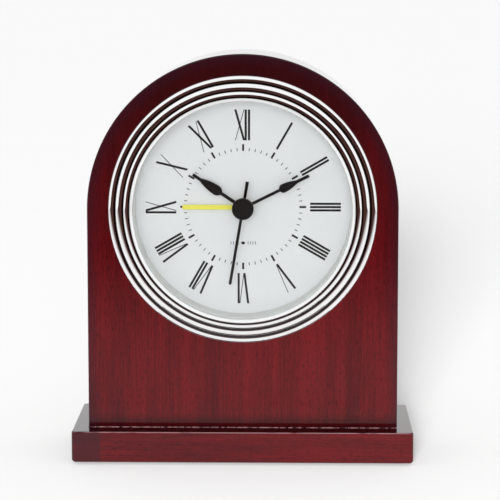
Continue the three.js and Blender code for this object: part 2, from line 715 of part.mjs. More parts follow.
// Tubes carry the hands; the seconds arbor runs through all of them.
function makeWheels() {
  const cannonPhase = 0;
  const motionPhase = meshPhase(TEETH.cannon, cannonPhase, MOTION_ANGLE, TEETH.motion);
  const motionPinionPhase = 0;
  const hourPhase = meshPhase(TEETH.motionPinion, motionPinionPhase, MOTION_ANGLE + 180, TEETH.hour);
  const thirdPinionPhase = meshPhase(TEETH.centre, 0, 0, TEETH.thirdPinion);
  const secondsPinionPhase = meshPhase(TEETH.third, 0, 180, TEETH.secondsPinion);
  const intermediatePinionPhase = meshPhase(
    TEETH.seconds,
    0,
    INTERMEDIATE_ANGLE,
    TEETH.intermediatePinion,
  );
  const rotorPhase = meshPhase(TEETH.intermediate, 0, ROTOR_ANGLE, TEETH.rotor);
  const timeSetPhase = meshPhase(TEETH.motion, motionPhase, TIME_SET_ANGLE, TEETH.timeSet);
  const alarmSetPhase = meshPhase(TEETH.alarm, 0, ALARM_SET_ANGLE, TEETH.alarmSet);
  const plateFront = DIAL_BACK + MIDDLE_PLATE[0];
  const rearBack = DIAL_BACK + REAR_PLATE[1];

  const alarmBack = DIAL_BACK + ALARM_WHEEL[1];
  const alarmTube = rod(ALARM_TUBE, ALARM_HAND_DEPTH - SEAT, alarmBack);
  const alarm = join(gear(TEETH.alarm, ALARM_MODULE, ALARM_WHEEL), alarmTube);
  place(insert, "alarm_wheel", cut(alarm, rod(ALARM_BORE, 0, alarmBack + 1)), "brass");

  const hourBack = DIAL_BACK + HOUR_WHEEL[1];
  const hourTube = rod(HOUR_TUBE, HOUR_HAND_DEPTH - SEAT, hourBack);
  const hour = join(gear(TEETH.hour, HOUR_MODULE, HOUR_WHEEL, hourPhase), hourTube);
  place(insert, "hour_wheel", cut(hour, rod(HOUR_BORE, 0, hourBack + 1)), "brass");

  const cannonBack = DIAL_BACK + CENTRE_WHEEL[1];
  const cannonTube = rod(MINUTE_TUBE, MINUTE_HAND_DEPTH - SEAT, cannonBack);
  const cannon = join(gear(TEETH.cannon, MOTION_MODULE, CANNON_PINION, cannonPhase), cannonTube);
  place(insert, "cannon_pinion", cut(cannon, rod(MINUTE_BORE, 0, cannonBack + 1)), "steel");

  const motion = join(
    gear(TEETH.motion, MOTION_MODULE, MOTION_WHEEL, motionPhase),
    gear(TEETH.motionPinion, HOUR_MODULE, MOTION_PINION, motionPinionPhase),
  );
  const motionBore = rod(PIVOT + RUN, 0, DIAL_BACK + MOTION_WHEEL[1] + 1, CENTRE, 8);
  place(insert, "motion_wheel", cut(motion, motionBore), "white", MOTION);

  // It grips the cannon pinion's tube by friction, so that the hands can be set against the train.
  const centreBore = rod(MINUTE_TUBE + RUN, 0, cannonBack + 1);
  const centre = cut(gear(TEETH.centre, CENTRE_MODULE, CENTRE_WHEEL), centreBore);
  place(insert, "centre_wheel", centre, "brass");

  const third = join(
    gear(TEETH.third, THIRD_MODULE, THIRD_WHEEL),
    gear(TEETH.thirdPinion, CENTRE_MODULE, THIRD_PINION, thirdPinionPhase),
    rod(PIVOT, plateFront, rearBack, CENTRE, 8),
  );
  place(insert, "third_wheel", third, "white", THIRD);

  const seconds = join(
    gear(TEETH.seconds, SECONDS_MODULE, SECONDS_WHEEL),
    gear(TEETH.secondsPinion, THIRD_MODULE, SECONDS_PINION, secondsPinionPhase),
    rod(SECONDS_ARBOR, SECOND_HAND_DEPTH + SEAT, rearBack, CENTRE, 8),
  );
  place(insert, "seconds_wheel", seconds, "white");

  const intermediate = join(
    gear(TEETH.intermediate, ROTOR_MODULE, INTERMEDIATE_WHEEL),
    gear(TEETH.intermediatePinion, SECONDS_MODULE, INTERMEDIATE_PINION, intermediatePinionPhase),
    rod(PIVOT, DIAL_BACK + CENTRE_WHEEL[1] + RUN, rearBack, CENTRE, 8),
  );
  place(insert, "intermediate_wheel", intermediate, "white", INTERMEDIATE);

  // The rotor: a pinion on the magnet's own arbor.
  const magnetBack = DIAL_BACK + ROTOR_MAGNET[1];
  const rotor = join(
    gear(TEETH.rotor, ROTOR_MODULE, ROTOR_PINION, rotorPhase),
    rod(PIVOT, magnetBack - 1, rearBack, CENTRE, 8),
  );
  place(insert, "rotor_pinion", rotor, "white", ROTOR);
  const magnetHole = rod(PIVOT + PRESS, magnetBack - 1 - SEAT, magnetBack + 1, CENTRE, 8);
  const magnet = cut(rod(MAGNET_RADIUS, ...behindDial(ROTOR_MAGNET)), magnetHole);
  place(insert, "rotor_magnet", magnet, "steel", ROTOR);

  const knobFront = INSERT_DEPTH + SLIDE;
  const shaftBack = knobFront + KNOB_HEIGHT / 2;
  const timeSet = join(
    gear(TEETH.timeSet, MOTION_MODULE, MOTION_WHEEL, timeSetPhase),
    rod(SET_SHAFT_RADIUS, DIAL_BACK + MOTION_WHEEL[0], shaftBack, CENTRE, 12),
  );
  place(insert, "time_set_shaft", timeSet, "steel", TIME_SET);
  const alarmSet = join(
    gear(TEETH.alarmSet, ALARM_MODULE, SET_PINION, alarmSetPhase),
    rod(SET_SHAFT_RADIUS, DIAL_BACK + SET_PINION[0], shaftBack, CENTRE, 12),
  );
  place(insert, "alarm_set_shaft", alarmSet, "steel", ALARM_SET);
  [
    ["time_set_knob", TIME_SET],
    ["alarm_set_knob", ALARM_SET],
  ].forEach(([name, at]) => {
    const knob = rod(KNOB_RADIUS, knobFront, knobFront + KNOB_HEIGHT, CENTRE, 2 * SMALL);
    const socket = rod(SET_SHAFT_RADIUS + PRESS, knobFront - 1, shaftBack + PRESS, CENTRE, 12);
    place(insert, name, cut(knob, socket), "blackPlastic", at);
  });
}

// ---------------------------------------------------------------- stepping motor and electronics

function makeMotor() {
  const left = ROTOR[0] - STATOR_WIDTH / 2;
  const right = ROTOR[0] + STATOR_WIDTH / 2;
  const legTop = COIL_Z + COIL_FLANGE;
  const [front, back] = behindDial(STATOR);
  const outline = new THREE.Shape();
  outline.moveTo(left, STATOR_BOTTOM);
  outline.lineTo(right, STATOR_BOTTOM);
  outline.lineTo(right, legTop);
  outline.lineTo(right - STATOR_LEG, legTop);
  outline.lineTo(right - STATOR_LEG, STATOR_BOTTOM + STATOR_BAR);
  outline.lineTo(left + STATOR_LEG, STATOR_BOTTOM + STATOR_BAR);
  outline.lineTo(left + STATOR_LEG, legTop);
  outline.lineTo(left, legTop);
  const rotorHole = rod(MAGNET_RADIUS + 2 * RUN, front - 1, back + 1, ROTOR);
  place(insert, "stator", cut(slab(outline, front, back), rotorHole), "steel");

  // The core lies on the stator's legs, and the bobbin round it, between them.
  const coreFront = back + SEAT;
  const coreDepth = coreFront + CORE_HALF[0];
  // A box round the core's line, along X, that stands a margin out past the core.
  const roundCore = (range, margin) => {
    const [deep, high] = CORE_HALF.map((half) => half + margin);
    return block(range, [coreDepth - deep, coreDepth + deep], [COIL_Z - high, COIL_Z + high]);
  };
  place(insert, "coil_core", roundCore([left, right], 0), "steel");
  const coilLeft = ROTOR[0] - COIL_LENGTH / 2;
  const coilRight = ROTOR[0] + COIL_LENGTH / 2;
  const sleeve = roundCore([coilLeft, coilRight], SLEEVE_WALL);
  const flanges = [
    [coilLeft, coilLeft + COIL_FLANGE_THICK],
    [coilRight - COIL_FLANGE_THICK, coilRight],
  ].map((range) => {
    const reach = [coreDepth - COIL_FLANGE, coreDepth + COIL_FLANGE];
    return block(range, reach, [COIL_Z - COIL_FLANGE, COIL_Z + COIL_FLANGE]);
  });
  place(insert, "coil_bobbin", cut(join(sleeve, ...flanges), roundCore([left, right], PRESS)), "white");
  const windingEnds = [coilLeft + COIL_FLANGE_THICK + SEAT, coilRight - COIL_FLANGE_THICK - SEAT];
  const winding = cut(
    rodAlongX(COIL_RADIUS, ...windingEnds, [coreDepth, COIL_Z]),
    roundCore([left, right], SLEEVE_WALL + PRESS),
  );
  place(insert, "coil_winding", winding, "copper");
}

function makeElectronics() {
  const [left, bottom, width, height] = BOARD_BOX;
  const [boardFront, boardBack] = behindDial(BOARD);
  const corner = new THREE.Shape();
  corner.moveTo(left, bottom);
  corner.lineTo(left + width, bottom);
  corner.lineTo(left + width, bottom + height);
  corner.lineTo(left + PLATE_CORNER, bottom + height);
  corner.lineTo(left, bottom + height - PLATE_CORNER);
  place(insert, "circuit_board", slab(corner, boardFront, boardBack), "board");
  const onBoard = boardBack + SEAT;
  const chipHalf = CHIP_SIZE / 2;
  const chip = block(
    [CHIP_AT[0] - chipHalf, CHIP_AT[0] + chipHalf],
    [onBoard, onBoard + CHIP_THICK],
    [CHIP_AT[1] - chipHalf, CHIP_AT[1] + chipHalf],
  );
  place(insert, "chip", chip, "blackPlastic");
  const quartz = rodAlongX(
    QUARTZ_RADIUS,
    QUARTZ_AT[0] - QUARTZ_LENGTH / 2,
    QUARTZ_AT[0] + QUARTZ_LENGTH / 2,
    [onBoard + QUARTZ_RADIUS, QUARTZ_AT[1]],
    12,
  );
  place(insert, "quartz_crystal", quartz, "steel");
  const buzzerFront = DIAL_BACK + REAR_PLATE[1] + 2 * PLATE_SCREW_HEAD_THICK;
  const buzzer = rod(BUZZER_RADIUS, buzzerFront, buzzerFront + BUZZER_THICK, BUZZER_AT, 24);
  place(insert, "buzzer", buzzer, "brass");

  // A strip folded up from the board, which the alarm switch closes.
  const springZ = SWITCH_AT[1] + SWITCH_FOOT[1] / 2 + 1;
  const strip = new THREE.Shape();
  strip.moveTo(left + 1, onBoard);
  strip.lineTo(left + 7, onBoard);
  strip.lineTo(left + 7, onBoard + STRIP_THICK);
  strip.lineTo(left + 1 + 5 * STRIP_THICK, onBoard + STRIP_THICK);
  strip.lineTo(left + 5.5, onBoard + STRIP_RISE);
  strip.lineTo(left + 5, onBoard + STRIP_RISE + STRIP_THICK / 3);
  const spring = new THREE.ExtrudeGeometry(strip, { depth: STRIP_WIDTH, bevelEnabled: false });
  place(insert, "alarm_contact_spring", spring.translate(0, 0, springZ), "brass");
}

// ---------------------------------------------------------------- cell, contacts and rear cover

function makeCell() {
  const depth = DIAL_BACK + CELL_DEPTH;
  const half = CELL_LENGTH / 2;
  const can = rodAlongX(CELL_RADIUS, -half, half, [depth, CELL_Z], 24);
  const nub = rodAlongX(CELL_NUB[0], half - 1, half + CELL_NUB[1], [depth, CELL_Z]);
  place(insert, "battery", join(can, nub), "cellSleeve");
  const bayEnd = BAY_HALF_LENGTH - SEAT;
  const plateHalf = CELL_RADIUS - CONTACT_INSET;
  const reach = [depth - plateHalf, depth + plateHalf];
  const heights = [CELL_Z - plateHalf, CELL_Z + plateHalf];
  const positiveEnd = half + CELL_NUB[1] + SEAT;
  const positive = join(
    block([bayEnd - CONTACT_THICK, bayEnd], reach, heights),
    rodAlongX(CELL_NUB[0], positiveEnd, bayEnd - CONTACT_THICK / 2, [depth, CELL_Z]),
  );
  place(insert, "contact_positive", positive, "steel");
  const [coneFrom, coneTo] = [half + SEAT, bayEnd - CONTACT_THICK / 2];
  const cone = new THREE.CylinderGeometry(...SPRING_CONE, coneTo - coneFrom, SMALL);
  cone.rotateZ(-Math.PI / 2).translate(-(coneFrom + coneTo) / 2, depth, CELL_Z);
  const negative = join(block([-bayEnd, CONTACT_THICK - bayEnd], reach, heights), cone);
  place(insert, "contact_negative", negative, "steel");
}

function makeRearCover() {
  const bayBottom = CELL_Z - BAY_HALF_HEIGHT;
  const bayTop = CELL_Z + BAY_HALF_HEIGHT;
  const disc = rod(CAN_OUTSIDE, COVER_FRONT, INSERT_DEPTH, CENTRE, ROUND);
  const bayBox = block(
    [-BAY_HALF_LENGTH - BAY_WALL, BAY_HALF_LENGTH + BAY_WALL],
    [BAY_FLOOR - BAY_WALL, COVER_FRONT + COVER_THICK / 2],
    [bayBottom - BAY_WALL, bayTop + BAY_WALL],
  );
  const bay = common(bayBox, rod(CAN_RADIUS - 2 * SEAT, 0, INSERT_DEPTH, CENTRE, ROUND)); // clear of the can
  const bayEnds = [-BAY_HALF_LENGTH, BAY_HALF_LENGTH];
  const bayRoom = block(bayEnds, [BAY_FLOOR, INSERT_DEPTH + 1], [bayBottom, bayTop]);
  const stemHalf = SWITCH_STEM[0] / 2;
  const stemHeight = SWITCH_STEM[1] / 2;
  const slot = block(
    [SWITCH_AT[0] - stemHalf - SLIDE, SWITCH_AT[0] + stemHalf + SWITCH_TRAVEL + SLIDE],
    [COVER_FRONT - 1, INSERT_DEPTH + 1],
    [SWITCH_AT[1] - stemHeight - SLIDE, SWITCH_AT[1] + stemHeight + SLIDE],
  );
  const [slotHalf, slotHalfHeight] = SOUND_SLOT.map((size) => size / 2);
  const soundSlots = [-1, 0, 1].map((row) => {
    const z = BUZZER_AT[1] + row * SOUND_SLOT_PITCH;
    return block(
      [BUZZER_AT[0] - slotHalf, BUZZER_AT[0] + slotHalf],
      [COVER_FRONT - 1, INSERT_DEPTH + 1],
      [z - slotHalfHeight, z + slotHalfHeight],
    );
  });
  const holes = [TIME_SET, ALARM_SET].map((at) =>
    rod(SET_SHAFT_RADIUS + RUN, COVER_FRONT - 1, INSERT_DEPTH + 1, at, 12),
  );
  const screwHoles = railPlaces().map((at) =>
    rod(COVER_SCREW_RADIUS + PRESS, COVER_FRONT - 1, INSERT_DEPTH + 1, at, 8),
  );
  const cover = cut(join(disc, bay), bayRoom, slot, ...soundSlots, ...holes, ...screwHoles);
  place(insert, "rear_cover", cover, "blackPlastic");

  const door = block(
    [SLIDE - BAY_HALF_LENGTH, BAY_HALF_LENGTH - SLIDE],
    [DIAL_BACK + CELL_DEPTH + CELL_RADIUS + SLIDE, INSERT_DEPTH],
    [bayBottom + SLIDE, bayTop - SLIDE],
  );
  place(insert, "battery_door", door, "blackPlastic");

  railPlaces().forEach((at, i) => {
    const headFront = INSERT_DEPTH + SEAT;
    const headBack = headFront + COVER_SCREW_HEAD_THICK;
    const shank = rod(COVER_SCREW_RADIUS, INSERT_DEPTH - COVER_SCREW_LENGTH, headBack, at, 8);
    const head = rod(COVER_SCREW_HEAD, headFront, headBack, at, 12);
    place(insert, `rear_cover_screw_${i + 1}`, join(shank, head), "steel");
  });

  const footHalf = SWITCH_FOOT[0] / 2;
  const footHeight = SWITCH_FOOT[1] / 2;
  const switchFoot = block(
    [-footHalf, footHalf],
    [COVER_FRONT - SLIDE - SWITCH_FOOT_THICK, COVER_FRONT - SLIDE],
    [-footHeight, footHeight],
  );
  const stem = block(
    [-stemHalf, stemHalf],
    [COVER_FRONT - SLIDE - SWITCH_FOOT_THICK / 2, INSERT_DEPTH + SWITCH_PROUD],
    [-stemHeight, stemHeight],
  );
  place(insert, "alarm_switch", join(switchFoot, stem), "blackPlastic", SWITCH_AT);
}

makeWood();
makeInsertShell();
makeHands();
makePlates();
makeWheels();
makeMotor();
makeElectronics();
makeCell();
makeRearCover();

export default clock;
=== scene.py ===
# %% [markdown]
# # A mantel clock in rosewood lacquer
# The clock is an arched wooden case on a slab base, with a round chromed insert that holds the dial,
# the hands, a quartz alarm movement and one cell. The packed model gives every size and place, and
# this script gives each piece that shows a fine surface and a finish. We begin by loading that frame.

# %% Load the frame
import json
import math

import bmesh
import bpy
import numpy as np
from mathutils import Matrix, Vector


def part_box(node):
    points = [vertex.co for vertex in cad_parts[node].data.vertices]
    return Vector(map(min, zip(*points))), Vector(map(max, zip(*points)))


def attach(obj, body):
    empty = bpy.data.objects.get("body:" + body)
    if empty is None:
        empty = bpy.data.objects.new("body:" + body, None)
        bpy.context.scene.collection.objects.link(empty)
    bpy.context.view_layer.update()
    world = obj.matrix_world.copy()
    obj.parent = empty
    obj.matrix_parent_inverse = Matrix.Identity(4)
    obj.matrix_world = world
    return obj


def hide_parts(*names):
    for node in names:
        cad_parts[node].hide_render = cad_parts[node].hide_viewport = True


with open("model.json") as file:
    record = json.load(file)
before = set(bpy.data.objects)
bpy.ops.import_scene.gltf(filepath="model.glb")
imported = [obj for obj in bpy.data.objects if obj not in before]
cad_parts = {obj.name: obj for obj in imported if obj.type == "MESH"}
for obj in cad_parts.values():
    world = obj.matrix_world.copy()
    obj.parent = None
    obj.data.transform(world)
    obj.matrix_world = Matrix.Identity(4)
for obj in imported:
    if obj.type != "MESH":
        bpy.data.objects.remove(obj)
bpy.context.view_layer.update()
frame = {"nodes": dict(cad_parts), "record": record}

MM = 0.001

# %% [markdown]
# The dial's centre is where everything round is set out from, and depths are counted back from the
# front of the case. The box of a CAD node gives both, and most other sizes. The few that no box
# gives, such as the bore or the widths of the bezel's steps, are named where they are first used.

# %% Places read from the frame
def box_of(node):
    """The lowest and highest corner of a CAD node, as arrays in metres."""
    low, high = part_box(node)
    return np.array(low), np.array(high)


CASE_LOW, CASE_HIGH = box_of("case_body")
BASE_LOW, BASE_HIGH = box_of("base_board")
DIAL_LOW, DIAL_HIGH = box_of("dial")
CENTRE = (DIAL_LOW + DIAL_HIGH) / 2
FRONT = CASE_LOW[1]
SETTING_OUT = np.array([CENTRE[0], FRONT, CENTRE[2]])  # where x, depth and z are counted from
print("dial centre", (CENTRE / MM).round(2), "front of the case", round(FRONT / MM, 2))

# %% [markdown]
# Four small helpers read a node's size and place in the way that a drawing would give them: from the
# dial's centre, and in millimetres.

# %% Sizes read from the frame
def depths_of(node):
    """How far a node's front and back stand behind the front of the case."""
    low, high = box_of(node)
    return (low[1] - FRONT) / MM, (high[1] - FRONT) / MM


def radius_of(node):
    """Half a node's width."""
    low, high = box_of(node)
    return (high[0] - low[0]) / 2 / MM


def middle_of(node):
    """x and z of a node's middle from the dial's centre."""
    low, high = box_of(node)
    return ((low + high) / 2 - CENTRE)[[0, 2]] / MM


def width_and_height(node):
    """A node's extent along X and along Z."""
    low, high = box_of(node)
    return (high - low)[[0, 2]] / MM


print("dial radius", round(radius_of("dial"), 2), "and depths", np.round(depths_of("dial"), 2))

# %% [markdown]
# ## Making surfaces
# Most pieces are a grid of points: a profile turned round an axis, or an outline carried from one
# level to the next. One helper turns such a grid into a mesh. Where a grid's edge shrinks to a point
# the doubles are merged, which closes poles and seams, and then the faces are turned outwards.

# %% From a grid of points to a piece
def tidy(mesh):
    """Merges points under a two-hundredth of a millimetre apart, and turns the faces outwards."""
    work = bmesh.new()
    work.from_mesh(mesh)
    bmesh.ops.remove_doubles(work, verts=work.verts, dist=0.005 * MM)
    bmesh.ops.recalc_face_normals(work, faces=work.faces)
    work.to_mesh(mesh)
    work.free()
    mesh.update()


def grid_faces(rows, columns, wrap_rows, wrap_columns):
    """The corner numbers of the quads between neighbouring points of a grid of points."""
    r = np.arange(rows if wrap_rows else rows - 1)[:, None]
    c = np.arange(columns if wrap_columns else columns - 1)[None, :]
    below, beside = (r + 1) % rows, (c + 1) % columns
    corners = [r * columns + c, r * columns + beside, below * columns + beside, below * columns + c]
    return np.stack([np.broadcast_to(k, (r.size, c.size)) for k in corners], -1).reshape(-1, 4)


def new_piece(name, points, faces, smooth_under=35):
    """A mesh object at the origin, its points already in place, shaded smooth but for sharp edges."""
    mesh = bpy.data.meshes.new(name)
    mesh.from_pydata(np.asarray(points).reshape(-1, 3), [], [list(map(int, f)) for f in faces])
    tidy(mesh)
    mesh.shade_smooth()
    mesh.set_sharp_from_angle(angle=math.radians(smooth_under))
    piece = bpy.data.objects.new(name, mesh)
    bpy.context.scene.collection.objects.link(piece)
    return piece


def grid_piece(name, points, wrap_rows=False, wrap_columns=True, caps=(), smooth_under=35):
    """A piece from points[row, column, xyz]. caps names the end rows, 0 or -1, closed by one face."""
    rows, columns = points.shape[:2]
    faces = [list(f) for f in grid_faces(rows, columns, wrap_rows, wrap_columns)]
    for end in caps:
        first = (rows - 1) * columns if end else 0
        faces.append(list(range(first, first + columns)))
    return new_piece(name, points, faces, smooth_under)


def flat_normals(piece):
    """Lets large flat faces keep their own direction right up to a rounded edge."""
    weighted = piece.modifiers.new("flat faces stay flat", "WEIGHTED_NORMAL")
    weighted.keep_sharp = True
    return piece


print("a grid of 3 rows and 4 columns, closed one way, has", len(grid_faces(3, 4, False, True)), "faces")

# %% [markdown]
# A moulded or turned edge is never quite sharp, and the highlight along it is what makes it look real.
# This helper takes the few corners of a profile, each with a radius, and puts an arc in each corner.

# %% Profiles with rounded corners
def rounded(corners, steps=6, closed=True):
    """Each corner is (x, y, radius). An arc of that radius, tangent to both sides, replaces it."""
    corners = np.array(corners, float)
    path = []
    last = len(corners) - 1
    for i, (x, y, radius) in enumerate(corners):
        here = np.array([x, y])
        if radius <= 0 or (not closed and i in (0, last)):
            path.append(here[None])
            continue
        before, after = corners[i - 1, :2] - here, corners[(i + 1) % len(corners), :2] - here
        before, after = before / np.linalg.norm(before), after / np.linalg.norm(after)
        half = math.acos(np.clip(before @ after, -1, 1)) / 2
        middle = here + (before + after) / np.linalg.norm(before + after) * radius / math.sin(half)
        ends = [here + side * radius / math.tan(half) - middle for side in (before, after)]
        angles = np.arctan2([e[1] for e in ends], [e[0] for e in ends])
        turn = (angles[1] - angles[0] + math.pi) % (2 * math.pi) - math.pi
        sweep = angles[0] + turn * np.linspace(0, 1, steps + 1)
        path.append(middle + radius * np.stack([np.cos(sweep), np.sin(sweep)], -1))
    return np.concatenate(path)


square = [(0, 0, 1), (9, 0, 1), (9, 9, 1), (0, 9, 1)]
print("a square with rounded corners has", len(rounded(square)), "points")

# %% [markdown]
# Most round pieces were turned on a lathe, or moulded in a die that was, so a section carried round
# an axis is their natural form. Many of the sections are a rectangle whose four corners have a radius
# each, like a washer's, and one helper writes them all.

# %% Turned pieces
def placed(x, depth, z):
    """Points in metres, from millimetres right of, behind and above the setting-out point."""
    return np.stack(np.broadcast_arrays(x, depth, z), -1) * MM + SETTING_OUT


def washer(inside, outside, front, back, arrises):
    """The section's corners and their radii: inside and outside in front, outside and inside behind."""
    corners = [(inside, front), (outside, front), (outside, back), (inside, back)]
    return rounded([(*corner, arris) for corner, arris in zip(corners, arrises)])


def turned(name, section, at=(0, 0), around=192, closed=True, smooth_under=35):
    """Each (radius r, depth) of the section goes round: x = at + r·sin a, and z = at + r·cos a."""
    angle = np.linspace(0, 2 * np.pi, around, endpoint=False)[:, None]
    radius, depth = np.asarray(section, float).T
    points = placed(at[0] + radius * np.sin(angle), depth, at[1] + radius * np.cos(angle))
    return grid_piece(name, points, wrap_rows=True, wrap_columns=closed, smooth_under=smooth_under)


print("a washer's section has", len(washer(1, 2, 0, 1, [0.1] * 4)), "points")

# %% [markdown]
# Hands, doors and ribs are plates with a small arris. The outline moved inwards a little gives the
# front and the back face, and between them each arris is a quarter of a circle. A bevel modifier
# could round them too, but here the rows are known, so the arc is written straight into the grid.

# %% Plates
def inset(outline, distance):
    """The outline moved inwards by a distance: each point goes along the bisector of its corner."""
    ahead = np.roll(outline, -1, 0) - outline
    ahead /= np.linalg.norm(ahead, axis=1)[:, None]
    across = np.stack([-ahead[:, 1], ahead[:, 0]], -1)
    left = across + np.roll(across, 1, 0)
    left /= np.linalg.norm(left, axis=1)[:, None]
    stretch = 1 / np.maximum((left * across).sum(1), 0.3)
    return outline + left * (distance * stretch)[:, None]


def plate(name, outline, front, back, bevel=0.1):
    """An anticlockwise outline in X and Z, in millimetres, as a plate with rounded edges.

    Row by row it goes round the front edge, straight back, and round the back edge: on each arc the
    inset is bevel times one minus the sine, and the depth bevel times one minus the cosine.
    """
    quarter = np.linspace(0, np.pi / 2, 4)
    sink = bevel * (1 - np.cos(quarter))
    insets = bevel * np.concatenate([1 - np.sin(quarter), 1 - np.sin(quarter[::-1])])
    depths = np.concatenate([front + sink, back - sink[::-1]])
    rings = np.array([inset(np.asarray(outline, float), distance) for distance in insets])
    points = placed(rings[..., 0], depths[:, None], rings[..., 1])
    return flat_normals(grid_piece(name, points, caps=(0, -1)))


print("a square of side 9, inset by 1, has side", np.ptp(inset(np.array(square, float)[:, :2], 1)[:, 0]))

# %% [markdown]
# Holes are cut by solids that stand in for the drills. A finished piece gets its finish and is set on
# the body that carries it, and the CAD node that it stands for is hidden.

# %% Holes, and what a piece stands for
def drilled(piece, *tools):
    """Cuts the tools out of the piece, applies the cuts and removes the tools."""
    for tool in tools:
        cut = piece.modifiers.new("cut", "BOOLEAN")
        cut.operation, cut.solver, cut.object = "DIFFERENCE", "EXACT", tool
        piece.modifiers.move(len(piece.modifiers) - 1, 0)
    for weighted in [m for m in piece.modifiers if m.type == "WEIGHTED_NORMAL"]:
        piece.modifiers.remove(weighted)
    solid = bpy.data.meshes.new_from_object(piece.evaluated_get(bpy.context.evaluated_depsgraph_get()))
    piece.modifiers.clear()
    piece.data = solid
    solid.name = piece.name
    solid.shade_smooth()
    solid.set_sharp_from_angle(angle=math.radians(30))
    for tool in tools:
        bpy.data.objects.remove(tool)
    return flat_normals(piece)


def stands_for(piece, finish, body, slot, *nodes):
    """The piece gets its finish, rides on a body, and hides the CAD nodes given; the slot is not used."""
    piece.data.materials.append(finish)
    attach(piece, body)
    if nodes:
        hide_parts(*nodes)
    print(f"{piece.name}: {len(piece.data.polygons)} faces, rides on {body}")
    return piece


# %% [markdown]
# ## Writing shader maths as sums
# A material is a web of nodes. To keep each recipe readable, a small class wraps a socket so that
# `1 - mask` or `a * b + c` adds the Math nodes itself, and one method adds every other kind of node.

# %% Values with arithmetic
class Value:
    """An output socket, with arithmetic that adds Math nodes."""

    def __init__(self, recipe, socket):
        self.recipe, self.socket = recipe, socket

    def _math(self, operation, *operands):
        return self.recipe.node("ShaderNodeMath", {"operation": operation}, dict(enumerate(operands)))

    def __add__(self, other):
        return self._math("ADD", self, other)

    def __sub__(self, other):
        return self._math("SUBTRACT", self, other)

    def __rsub__(self, other):
        return self._math("SUBTRACT", other, self)

    def __mul__(self, other):
        return self._math("MULTIPLY", self, other)

    __radd__, __rmul__ = __add__, __mul__

    def at_least(self, other):
        """The larger of the two."""
        return self._math("MAXIMUM", self, other)

    def size(self):
        """The value without its sign."""
        return self._math("ABSOLUTE", self)

    def steps_between(self, low, high):
        """0 under low, 1 over high, and smooth between."""
        sockets = {"Value": self, "From Min": low, "From Max": high}
        return self.recipe.node("ShaderNodeMapRange", {"interpolation_type": "SMOOTHSTEP"}, sockets)


print("a value can also be asked for:", [name for name in vars(Value) if not name.startswith("_")])

# %% [markdown]
# The recipe holds a material and its Principled shader. A node's settings are made before its sockets
# are filled, because a setting can change which sockets a node has.

# %% A recipe for one material
class Recipe:
    """One material, its Principled shader, and the way to add nodes to it."""

    def __init__(self, name, **values):
        self.material = bpy.data.materials.new(name)
        self.material.use_nodes = True
        self.tree = self.material.node_tree
        self.shader = self.tree.nodes["Principled BSDF"]
        self.set(**values)

    def set(self, **values):
        """Sets the shader's sockets: base_color=... is Base Color, and a Value is linked."""
        for key, value in values.items():
            self._fill(self.shader.inputs[key.replace("_", " ").title().replace("Ior", "IOR")], value)
        return self

    def _fill(self, socket, value):
        if isinstance(value, Value):
            self.tree.links.new(value.socket, socket)
        elif isinstance(value, tuple) and len(value) == 3 and socket.type == "RGBA":
            socket.default_value = (*value, 1)
        else:
            socket.default_value = value

    def node(self, kind, settings=None, sockets=None, output=0):
        """Adds a node: its settings first, then its sockets, by name or number, as values or links."""
        made = self.tree.nodes.new(kind)
        for key, value in (settings or {}).items():
            setattr(made, key, value)
        for key, value in (sockets or {}).items():
            self._fill(made.inputs[key], value)
        return Value(self, made.outputs[output])

    def place(self, scale, uv=None):
        """Object coordinates, or the piece's own UV map, stretched by a scale per metre."""
        if uv:
            start = self.node("ShaderNodeUVMap", {"uv_map": uv})
        else:
            start = self.node("ShaderNodeTexCoord", output="Object")
        return self.node("ShaderNodeMapping", None, {"Vector": start, "Scale": scale})

    def axes(self):
        """X, Y and Z of the Object coordinates, each by itself."""
        start = self.node("ShaderNodeTexCoord", output="Object")
        return [self.node("ShaderNodeSeparateXYZ", None, {0: start}, axis) for axis in range(3)]

    def length(self, x, z):
        """How long the arrow (x, z) is."""
        arrow = self.node("ShaderNodeCombineXYZ", None, {"X": x, "Z": z})
        return self.node("ShaderNodeVectorMath", {"operation": "LENGTH"}, {0: arrow}, 1)

    def noise(self, vector, scale=1.0, detail=2.0, roughness=0.5, distortion=0.0):
        """Cloudy values about a half."""
        sockets = {"Vector": vector, "Scale": scale, "Detail": detail, "Roughness": roughness}
        return self.node("ShaderNodeTexNoise", None, {**sockets, "Distortion": distortion})

    def mix(self, share, first, second):
        """first where share is 0 and second where it is 1, as colours."""
        return self.node("ShaderNodeMix", {"data_type": "RGBA"}, {0: share, 6: first, 7: second}, 2)

    def bump(self, height, distance_mm, strength=1.0):
        """Relief of that height, fed to the shader's Normal."""
        sockets = {"Height": height, "Distance": distance_mm * MM, "Strength": strength}
        self.set(normal=self.node("ShaderNodeBump", None, sockets))
        return self


print("a recipe can:", [name for name in vars(Recipe) if not name.startswith("_")])

# %% [markdown]
# ## The finishes
# **Rosewood lacquer.** The veneer is a straight-grained red wood: broad bands of lighter and darker
# wood run along the grain, fibres a fraction of a millimetre wide lie over them, and the open pores
# are short dark dashes. The grain follows a map of the piece's own, so that it runs up the case, round
# its edge and along the base. Over it lies a clear gloss lacquer, whose face is level but for a faint
# ripple. It is a coat of full weight with a low index: face on it mirrors little, so that the red
# stays deep, and at a glancing angle it mirrors nearly everything.
#
# Light and shade are painted into the wood's colour. On the case, painted shade deepens towards the top
# of the arch and just over the foot, and a purple painted reflection lies along the outer edge, which is a
# question of height and of distance from the dial's centre. On the base, painted reflection greys the
# left end and darkens the top, and a painted highlight runs along the front arris.

# %% Where light and shade are painted on the wood
GRAIN = "grain"
PAINTED_SHADE_FROM, PAINTED_SHADE_TO = 35 * MM, 165 * MM  # heights between which the case darkens
# The greyer band at the base's left end is a painted reflection; the constant below is where it stops.
LEFT_END_REFLECTION_EDGE = BASE_LOW[0] + 11.2 * MM  # where the greyer wood at the left end stops
# The pale line on the base's front arris is a painted highlight; the constant below places its middle.
ARRIS_HIGHLIGHT_LINE = 0.2 * MM  # the middle of the worn line, in from both faces of the arris


